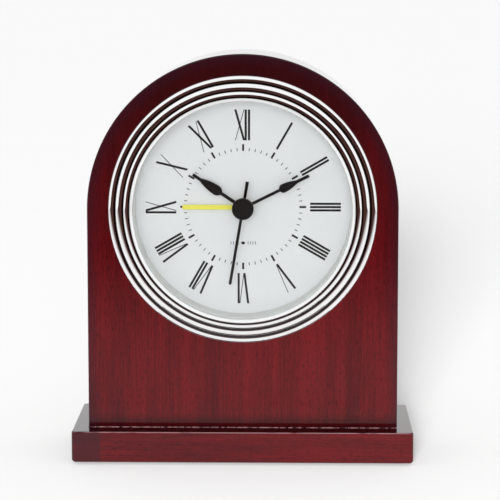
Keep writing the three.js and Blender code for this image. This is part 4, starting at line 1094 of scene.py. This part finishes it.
# %% The hour, minute and alarm hands
HOUR_ANGLE, MINUTE_ANGLE, ALARM_ANGLE = 303.6, 63.5, 270
ALARM_COLLAR, ALARM_HALF, ALARM_LENGTH = 3.4, 0.9, 23.5

hour_outline = spade(23.25, 1.3, 10.1, 12.3, 19.7, 3.9, 2.75)
minute_outline = spade(28.4, 1.15, 15.8, 17.3, 23.1, 3.4, 2.1)
hand("hour_spade", "hour_hand", hour_outline, HOUR_ANGLE, "hour", "black_hands", BLACK_PAINT)
hand("minute_spade", "minute_hand", minute_outline, MINUTE_ANGLE, "minute", "black_hands", BLACK_PAINT)

alarm_sweep = np.linspace(np.pi, math.asin(ALARM_HALF / ALARM_COLLAR), 30)
alarm_ring = ALARM_COLLAR * np.stack([np.sin(alarm_sweep), np.cos(alarm_sweep)], -1)
alarm_tip = [[ALARM_HALF, ALARM_LENGTH - 0.6], [0.55, ALARM_LENGTH]]
alarm_outline = mirrored(np.concatenate([alarm_ring, alarm_tip]))
hand("alarm_pointer", "alarm_hand", alarm_outline, ALARM_ANGLE, "alarm", "yellow_hand", YELLOW_PAINT)

# %% [markdown]
# The second hand is a thin needle with a longer, slightly flared tail to balance it, and a flat cap
# over the centre. Needle, tail and cap are one outline, and the cap's own thickness is a turned disc.

# %% The second hand
SECOND_ANGLE = 189.6
CAP_RADIUS = 4.2
BLADE_BEHIND, BLADE_THICK = 1.6, 0.4  # how far the blade stands behind the cap's face


def needle(length, width, tail, tail_width):
    """Straight sides that widen towards the tail, and half a circle for the tip."""
    tip = np.linspace(0, np.pi / 2, 6)
    nose = np.stack([width / 2 * np.cos(tip), length - width / 2 + width / 2 * np.sin(tip)], -1)
    return mirrored(np.concatenate([[[tail_width / 2, -tail], [width / 2, -CAP_RADIUS + 0.2]], nose]))


cap_front = depths_of("second_hand")[0]
blade_front = cap_front + BLADE_BEHIND
blade_back = blade_front + BLADE_THICK
blade_outline = turned_clockwise(needle(30, 1.1, 10.6, 1.3), SECOND_ANGLE)
blade = plate("second_needle", blade_outline, blade_front, blade_back)
stands_for(blade, BLACK_PAINT, "seconds", "black_hands", "second_hand")
cap_section = washer(0, CAP_RADIUS, cap_front, blade_back, (0, 0.35, 0.2, 0))
cap = flat_normals(turned("second_cap", cap_section, around=96, closed=False))
stands_for(cap, BLACK_PAINT, "seconds", "black_hands")

# %% [markdown]
# ## The back
# Behind, a black moulded cover closes the insert: a disc with a raised rim, a round collar for each
# setting knob, slots for the sounder, a slot for the alarm switch, and the bay for the cell.

# %% The rear cover
COVER_RADIUS = radius_of("rear_cover")
COVER_BAY_FRONT, COVER_BACK = depths_of("rear_cover")
COVER_THICK = 1.6
COVER_FRONT = COVER_BACK - COVER_THICK
ROOM = 0.7  # how much wider an opening is than what fills it
SOUND_SLOT, SOUND_PITCH = (10, 1.2), 4
SWITCH_STEM, SWITCH_TRAVEL = (5, 3.4), 4
KNOB_HOLE = 1.7


def round_rect(width, height, radius, middle=(0, 0), steps=6):
    """A rectangle about a middle, with an arc in each corner."""
    x, z = width / 2, height / 2
    corners = [(-x, -z, radius), (x, -z, radius), (x, z, radius), (-x, z, radius)]
    return rounded(corners, steps) + np.array(middle)


def punch(outline):
    """A plate that goes right through the cover."""
    return plate("punch", outline, COVER_FRONT - 1, COVER_BACK + 1, 0.01)


def make_cover():
    """A disc with a rounded edge, less the openings for the bay, sound, switch and knobs."""
    section = washer(0, COVER_RADIUS, COVER_FRONT, COVER_BACK, (0, 0.2, 0.6, 0))
    cover = turned("moulded_cover", section, around=160, closed=False)
    door_width, door_height = width_and_height("battery_door") + ROOM
    tools = [punch(round_rect(door_width, door_height, 0.6, middle_of("battery_door")))]
    for row in (-1, 0, 1):
        tools.append(punch(round_rect(*SOUND_SLOT, 0.58, middle_of("buzzer") + [0, row * SOUND_PITCH])))
    slot_width, slot_height = SWITCH_STEM[0] + SWITCH_TRAVEL + ROOM, SWITCH_STEM[1] + ROOM
    slot_middle = middle_of("alarm_switch") + [SWITCH_TRAVEL / 2, 0]
    tools.append(punch(round_rect(slot_width, slot_height, 0.4, slot_middle)))
    hole = washer(0, KNOB_HOLE, COVER_FRONT - 1, COVER_BACK + 1, (0, 0, 0, 0))
    for knob in ("time_set_knob", "alarm_set_knob"):
        tools.append(turned("hole", hole, middle_of(knob), 48, closed=False))
    return drilled(cover, *tools)


stands_for(make_cover(), BLACK_PLASTIC, "case", "black_plastic", "rear_cover")

# %% [markdown]
# The bay is a moulded tray under the door: five thin walls round the cell. It is one closed shell, a
# box outside and a smaller box inside, joined by the rim that meets the cover.

# %% The bay
BAY_WALL, BAY_FLOOR = 1.15, 1.2


def bay_shell():
    """Rows of one outline: down the outside, round to the floor, and up the inside."""
    width, height = width_and_height("battery_door") + ROOM
    middle = middle_of("battery_door")
    outside = round_rect(width + 2 * BAY_WALL, height + 2 * BAY_WALL, 1.2, middle)
    inside = round_rect(width, height, 0.5, middle)
    rings = np.array([outside, outside, inset(outside, 0.5), inset(inside, 0.5), inside, inside])
    rim = COVER_FRONT - 0.02
    floor = COVER_BAY_FRONT
    levels = np.array([rim, floor + 0.5, floor, floor + BAY_FLOOR, floor + BAY_FLOOR + 0.5, rim])
    points = placed(rings[..., 0], levels[:, None], rings[..., 1])
    rows, columns = points.shape[:2]
    quads = grid_faces(rows, columns, True, True)
    walls = [list(quad) for quad in quads if not 2 * columns <= quad[0] < 3 * columns]
    caps = [list(range(2 * columns, 3 * columns)), list(range(3 * columns, 4 * columns))]
    return new_piece("cell_bay", points, walls + caps)


stands_for(flat_normals(bay_shell()), BLACK_PLASTIC, "case", "black_plastic")

# %% [markdown]
# Four low rings stand on the cover: its rim, a collar round each knob, and one round the sounder. Each
# is a washer's section with its two back corners rounded.

# %% The rings on the cover
RINGS = {
    "cover_rim": ((0, 0), COVER_RADIUS - 2.2, COVER_RADIUS - 1.2, 0.35, 160),
    "time_collar": (middle_of("time_set_knob"), 7.2, 8.0, 0.4, 72),
    "alarm_collar": (middle_of("alarm_set_knob"), 7.2, 8.0, 0.4, 72),
    "sounder_collar": (middle_of("buzzer"), 7.0, 7.5, 0.3, 72),
}
for name, (at, inside, outside, height, around) in RINGS.items():
    section = washer(inside, outside, COVER_BACK - 0.2, COVER_BACK + height, (0, 0, 0.12, 0.12))
    stands_for(turned(name, section, at, around), BLACK_PLASTIC, "case", "black_plastic")

# %% [markdown]
# ## Door, knobs, switch and screws
# The door is a plate with grip ribs at one end. Each rib is a piece of its own that rides on the
# door, so that the whole lifts away together.

# %% The battery door
DOOR_RIBS, RIB_PITCH = 6, 1.5

door_width, door_height = width_and_height("battery_door")
door_middle = middle_of("battery_door")
door_front, door_back = depths_of("battery_door")
door = plate("cell_door", round_rect(door_width, door_height, 0.5, door_middle), door_front, door_back, 0.25)
stands_for(door, BLACK_PLASTIC, "door", "black_plastic", "battery_door")
for row in range(DOOR_RIBS):
    rib_middle = door_middle + [door_width / 2 - 3 - RIB_PITCH * row, 0]
    rib_outline = round_rect(0.7, door_height * 0.62, 0.33, rib_middle)
    rib = plate(f"door_rib_{row + 1}", rib_outline, door_back - 0.1, door_back + 0.35, 0.15)
    stands_for(rib, BLACK_PLASTIC, "door", "black_plastic")

# %% [markdown]
# The knobs are knurled: round the rim the radius rises and falls with a wave, and a dish in the face
# gives a fingertip somewhere to sit. A wave of the radius needs no cutting, only enough points round.

# %% The setting knobs
RIDGES = 36
RIDGE_DEPTH = 0.3
DISH_DEPTH = 0.5
KNOB_SHAFT = 1.6


def knurled(name, node):
    """Turned, but the radius near the rim loses d·(1 − cos(ridges·a))/2, and the face is dished."""
    radius = radius_of(node)
    front, back = depths_of(node)
    dish_radius = radius * 0.78
    share = np.linspace(0, 1, 10)
    dish = np.stack([share * dish_radius, back - DISH_DEPTH * (1 - share**2)], -1)
    edge = [(dish_radius, back, 0), (radius, back, 0.5), (radius, front, 0.25), (KNOB_SHAFT, front, 0)]
    end = [[KNOB_SHAFT, front + 0.4], [0, front + 0.4]]
    profile = np.concatenate([dish, rounded(edge, 5, closed=False)[1:], end])
    angle = np.linspace(0, 2 * np.pi, RIDGES * 8, endpoint=False)[:, None]
    wave = 0.5 - 0.5 * np.cos(RIDGES * angle)
    near_rim = np.clip((profile[:, 0] - radius + 0.7) / 0.7, 0, 1)
    r = profile[:, 0] - RIDGE_DEPTH * wave * near_rim
    x, z = middle_of(node)
    points = placed(x + r * np.sin(angle), profile[:, 1], z + r * np.cos(angle))
    return grid_piece(name, points, wrap_rows=True, wrap_columns=False, smooth_under=50)


for knob in ("time", "alarm"):
    node = f"{knob}_set_knob"
    stands_for(knurled(f"{knob}_knob", node), BLACK_PLASTIC, f"{knob}_set", "black_plastic", node)

# %% [markdown]
# The switch is a foot under the cover, a stem through the slot, and ribs for a fingernail on top. All
# of them ride on the slider.

# %% The alarm switch
SWITCH_FOOT = (9, 7)
SWITCH_RIBS, SWITCH_RIB_PITCH = 4, 1.1

switch_front, switch_back = depths_of("alarm_switch")
switch_at = middle_of("alarm_switch")
foot_plate = plate("switch_foot", round_rect(*SWITCH_FOOT, 0.4, switch_at), switch_front, switch_front + 1.2)
stands_for(foot_plate, BLACK_PLASTIC, "alarm_slider", "black_plastic", "alarm_switch")
stem_outline = round_rect(*SWITCH_STEM, 0.4, switch_at)
stem = plate("switch_stem", stem_outline, switch_front + 1, switch_back - 0.4, 0.2)
stands_for(stem, BLACK_PLASTIC, "alarm_slider", "black_plastic")
for i in range(SWITCH_RIBS):
    along = SWITCH_RIB_PITCH * (i - (SWITCH_RIBS - 1) / 2)
    rib_outline = round_rect(0.6, 3.2, 0.25, switch_at + [along, 0])
    rib = plate(f"switch_rib_{i + 1}", rib_outline, switch_back - 0.6, switch_back, 0.15)
    stands_for(rib, BLACK_PLASTIC, "alarm_slider", "black_plastic")

# %% [markdown]
# The cover's screws have domed heads with a cross recess. On a fine grid of rings, the height is the
# dome's, less the recess where the point lies in either arm of the cross.

# %% The cover screws
HEAD_THICK, DOME = 1.2, 0.35
RECESS_DEPTH, ARM_HALF = 0.75, 0.3
SHANK_RADIUS = 1.1


def pan_screw(name, node):
    """Depth = dome, r⁴ at its edge, less the recess inside |x| or |z| under the arm's half width."""
    radius = radius_of(node)
    front, back = depths_of(node)
    r = np.linspace(0, radius, 40)
    dome = back - DOME * (r / radius) ** 4
    angle = np.linspace(0, 2 * np.pi, 96, endpoint=False)[:, None]
    in_arm = np.minimum(np.abs(r * np.sin(angle)), np.abs(r * np.cos(angle))) < ARM_HALF
    head = np.where(in_arm & (r < 0.68 * radius), dome - RECESS_DEPTH, dome)
    under = back - HEAD_THICK + 0.05
    shank = np.array([[radius, under], [SHANK_RADIUS, under], [SHANK_RADIUS, front], [0, front]])
    r = np.concatenate([r, shank[:, 0]])
    depth = np.concatenate([head, shank[:, 1] + 0 * angle], 1)
    x, z = middle_of(node)
    points = placed(x + r * np.sin(angle), depth, z + r * np.cos(angle))
    return grid_piece(name, points, wrap_rows=True, wrap_columns=False, smooth_under=40)


for number in range(1, 4):
    node = f"rear_cover_screw_{number}"
    stands_for(pan_screw(f"pan_screw_{number}", node), ZINC, "case", "steel", node)

# %% [markdown]
# ## The cell
# One round cell lies in the bay: a sleeve with a rolled edge, a steel cap with its button, and a
# plain band of a second colour at the button end.

# %% The cell in its bay
BUTTON_RADIUS, BUTTON_LENGTH = 2.75, 1
BAND_FROM, CAP_FROM = 12.9 * MM, 23.9 * MM


def make_cell():
    """A profile of (along X, radius), turned about the cell's own axis."""
    low, high = box_of("battery")
    radius = (high[2] - low[2]) / 2 / MM
    left, right = low[0] / MM, high[0] / MM
    shoulder = right - BUTTON_LENGTH
    corners = [
        (left, 0, 0),
        (left, radius, 0.6),
        (shoulder, radius, 0.8),
        (shoulder, BUTTON_RADIUS, 0.3),
        (right, BUTTON_RADIUS, 0.3),
        (right, 0, 0),
    ]
    along, r = divided(rounded(corners, closed=False), 3, closed=False).T * MM
    angle = np.linspace(0, 2 * np.pi, 96, endpoint=False)[:, None]
    _, y, z = (low + high) / 2
    points = np.broadcast_arrays(along, y + r * np.sin(angle), z + r * np.cos(angle))
    return grid_piece("round_cell", np.stack(points, -1), wrap_rows=True, wrap_columns=False)


def cell_sleeve(name):
    """A dark sleeve, a band of a second colour towards the button, and a bare steel cap."""
    sleeve = Recipe(name, coat_weight=0.6, coat_roughness=0.08)
    x, _, _ = sleeve.axes()
    cap = x.steps_between(CAP_FROM, CAP_FROM + 0.1 * MM)
    band = x.steps_between(BAND_FROM, BAND_FROM + 0.1 * MM)
    scuffs = sleeve.noise(sleeve.place((90, 700, 700)), 1, 3)
    colours = sleeve.mix(band, (0.05, 0.055, 0.065), (0.42, 0.2, 0.05))
    sleeve.set(base_color=sleeve.mix(cap, colours, (0.6, 0.6, 0.62)))
    return sleeve.set(metallic=cap, roughness=0.25 + scuffs * 0.2).material


stands_for(flat_normals(make_cell()), cell_sleeve("cell sleeve"), "case", "cell_sleeve", "battery")

# %% [markdown]
# ## What stays as the CAD made it
# The gears, plates, coil and the rest of the movement are inside the can. Their shapes are right as
# they are, so each keeps its CAD mesh and is given the finish of its slot.

# %% Finishes for the carried-over pieces
BY_SLOT = {
    "steel": STEEL,
    "brass": BRASS,
    "copper_wire": COPPER,
    "white_plastic": WHITE_PLASTIC,
    "black_plastic": BLACK_PLASTIC,
    "board_green": BOARD_GREEN,
    "rubber": RUBBER,
}
carried = 0
for part in frame["record"]["subparts"]:
    node = frame["nodes"][part["node"]]
    if node.hide_render or part["material_slot"] not in BY_SLOT:
        continue
    node.data.materials.clear()
    node.data.materials.append(BY_SLOT[part["material_slot"]])
    carried += 1
print(carried, "CAD pieces keep their mesh and get a finish")

# %% [markdown]
# ## The studio
# The clock stands on a wide pale floor that is lit to the brightness of the room, so the ground has
# no visible horizon from any side. A dark cloth lies in front of the clock and rises behind the
# camera. The lacquer, the glass and the crests of the bezel mirror it, while the camera itself
# doesn't see it and it throws no shade. It is paler near the clock, so the foot of the case mirrors
# a little light.

# %% Floor and cloth
def make_floor(reach=15.0):
    """A flat disc of rings whose radius grows with the square of their number, closer near the clock."""
    radius = np.linspace(0, 1, 16) ** 2 * reach
    angle = np.linspace(0, 2 * np.pi, 96, endpoint=False)[:, None]
    points = np.broadcast_arrays(radius * np.cos(angle), radius * np.sin(angle), 0.0)
    ground = grid_piece("studio_floor", np.stack(points, -1), wrap_rows=True, wrap_columns=False)
    pale = Recipe("studio paint", roughness=0.9, specular_ior_level=0.05)
    dust = pale.noise(pale.place((6, 6, 6)), 1, 2)
    pale.set(base_color=pale.mix(dust, (0.498, 0.498, 0.498), (0.502, 0.502, 0.502)))
    ground.data.materials.append(pale.material)
    return ground


def make_cloth(width=1.5, near=0.1, far=0.95, top=0.6):
    """A strip on the floor from near to far, then straight up, bowed a little round the clock."""
    across = np.linspace(-1, 1, 25)[None, :]
    out = np.array([near, 0.2, 0.4, 0.6, 0.8, far, far + 0.01, far + 0.02])[:, None]
    up = np.array([0.002, 0.002, 0.002, 0.002, 0.004, 0.03, 0.2, top])[:, None]
    points = np.broadcast_arrays(across * width / 2, -out + 0.2 * across**2 * out, up)
    cloth = grid_piece("dark_cloth", np.stack(points, -1), wrap_columns=False)
    dark = Recipe("dark cloth", roughness=0.9, specular_ior_level=0.0)
    _, distance, _ = dark.axes()
    share = (0 - distance).steps_between(0.05, 0.6)
    dark.set(base_color=dark.mix(share, (0.9, 0.89, 0.89), (0.05, 0.02, 0.018)))
    cloth.data.materials.append(dark.material)
    cloth.visible_camera = cloth.visible_diffuse = cloth.visible_shadow = False
    return cloth


floor = make_floor()
cloth = make_cloth()
print("staged:", floor.name, "and", cloth.name)

# %% [markdown]
# Even light comes from the whole pale room, and a soft lamp beside the camera fills the recess in
# front of the dial. Two more lamps, far off and low, are flagged off the clock and reach only the
# floor: the wide one gives the soft shadow behind the clock and to its right, the narrow one the
# darker part of it close to the case.

# %% Light
world = bpy.data.worlds.new("pale room")
bpy.context.scene.world = world
world.use_nodes = True
world.node_tree.nodes["Background"].inputs["Color"].default_value = (1, 1, 1, 1)
world.node_tree.nodes["Background"].inputs["Strength"].default_value = 0.96


def hung(name, lamp, place, aim):
    """A lamp at a place, turned to its aim, and left out of mirror images."""
    holder = bpy.data.objects.new(name, lamp)
    holder.location = place
    holder.rotation_euler = (Vector(aim) - Vector(place)).to_track_quat("-Z", "Y").to_euler()
    holder.visible_glossy = False
    bpy.context.scene.collection.objects.link(holder)
    return holder


front = bpy.data.lights.new("front lamp", "AREA")
front.shape, front.size, front.energy = "DISK", 0.9, 13.3
hung("front lamp", front, place=(-0.05, -1.4, 0.22), aim=(0, 0, 0.09))

LOW_LAMP_CLIMB = math.radians(10)  # how high they stand above the floor's edge
LOW_LAMPS = {"low lamp": (11.4, 13, 6), "narrow low lamp": (5.7, 7, 3.2)}  # energy, width, way left
lit_low = bpy.data.collections.new("lit by the low lamps")
lit_low.objects.link(floor)
for name, (energy, width, way_left) in LOW_LAMPS.items():
    low = bpy.data.lights.new(name, "SUN")
    low.energy, low.angle = energy, math.radians(width)
    left, flat = math.radians(way_left), math.cos(LOW_LAMP_CLIMB)
    toward = (-math.sin(left) * flat, -math.cos(left) * flat, math.sin(LOW_LAMP_CLIMB))
    hung(name, low, place=toward, aim=(0, 0, 0)).light_linking.receiver_collection = lit_low

# %% [markdown]
# ## The camera
# A long lens from a little above and to the right, so that the case's sides stay nearly parallel. A
# small shift, as on a view camera, sets the clock in the frame without tipping the lens further.

# %% Camera
CAMERA_RIGHT, CAMERA_BACK, CAMERA_UP = 18.05 * MM, 780.4 * MM, 197.74 * MM
CAMERA_DOWN, CAMERA_TURN = math.radians(6.734), math.radians(-1.116)

camera = bpy.data.cameras.new("camera")
camera.sensor_width = 36
camera.lens = 148.2
camera.shift_y = -0.12
camera.clip_start, camera.clip_end = 0.05, 50
viewer = bpy.data.objects.new("camera", camera)
viewer.location = (CAMERA_RIGHT, FRONT - CAMERA_BACK, CAMERA_UP)
level = math.cos(CAMERA_DOWN)
heading = (math.sin(CAMERA_TURN) * level, math.cos(CAMERA_TURN) * level, -math.sin(CAMERA_DOWN))
viewer.rotation_euler = Vector(heading).to_track_quat("-Z", "Y").to_euler()
bpy.context.scene.collection.objects.link(viewer)
bpy.context.scene.camera = viewer
bpy.context.scene.view_settings.view_transform = "Standard"
print("camera", round(viewer.location.length, 3), "m from the foot of the clock, lens", round(camera.lens, 1))

# %% [markdown]
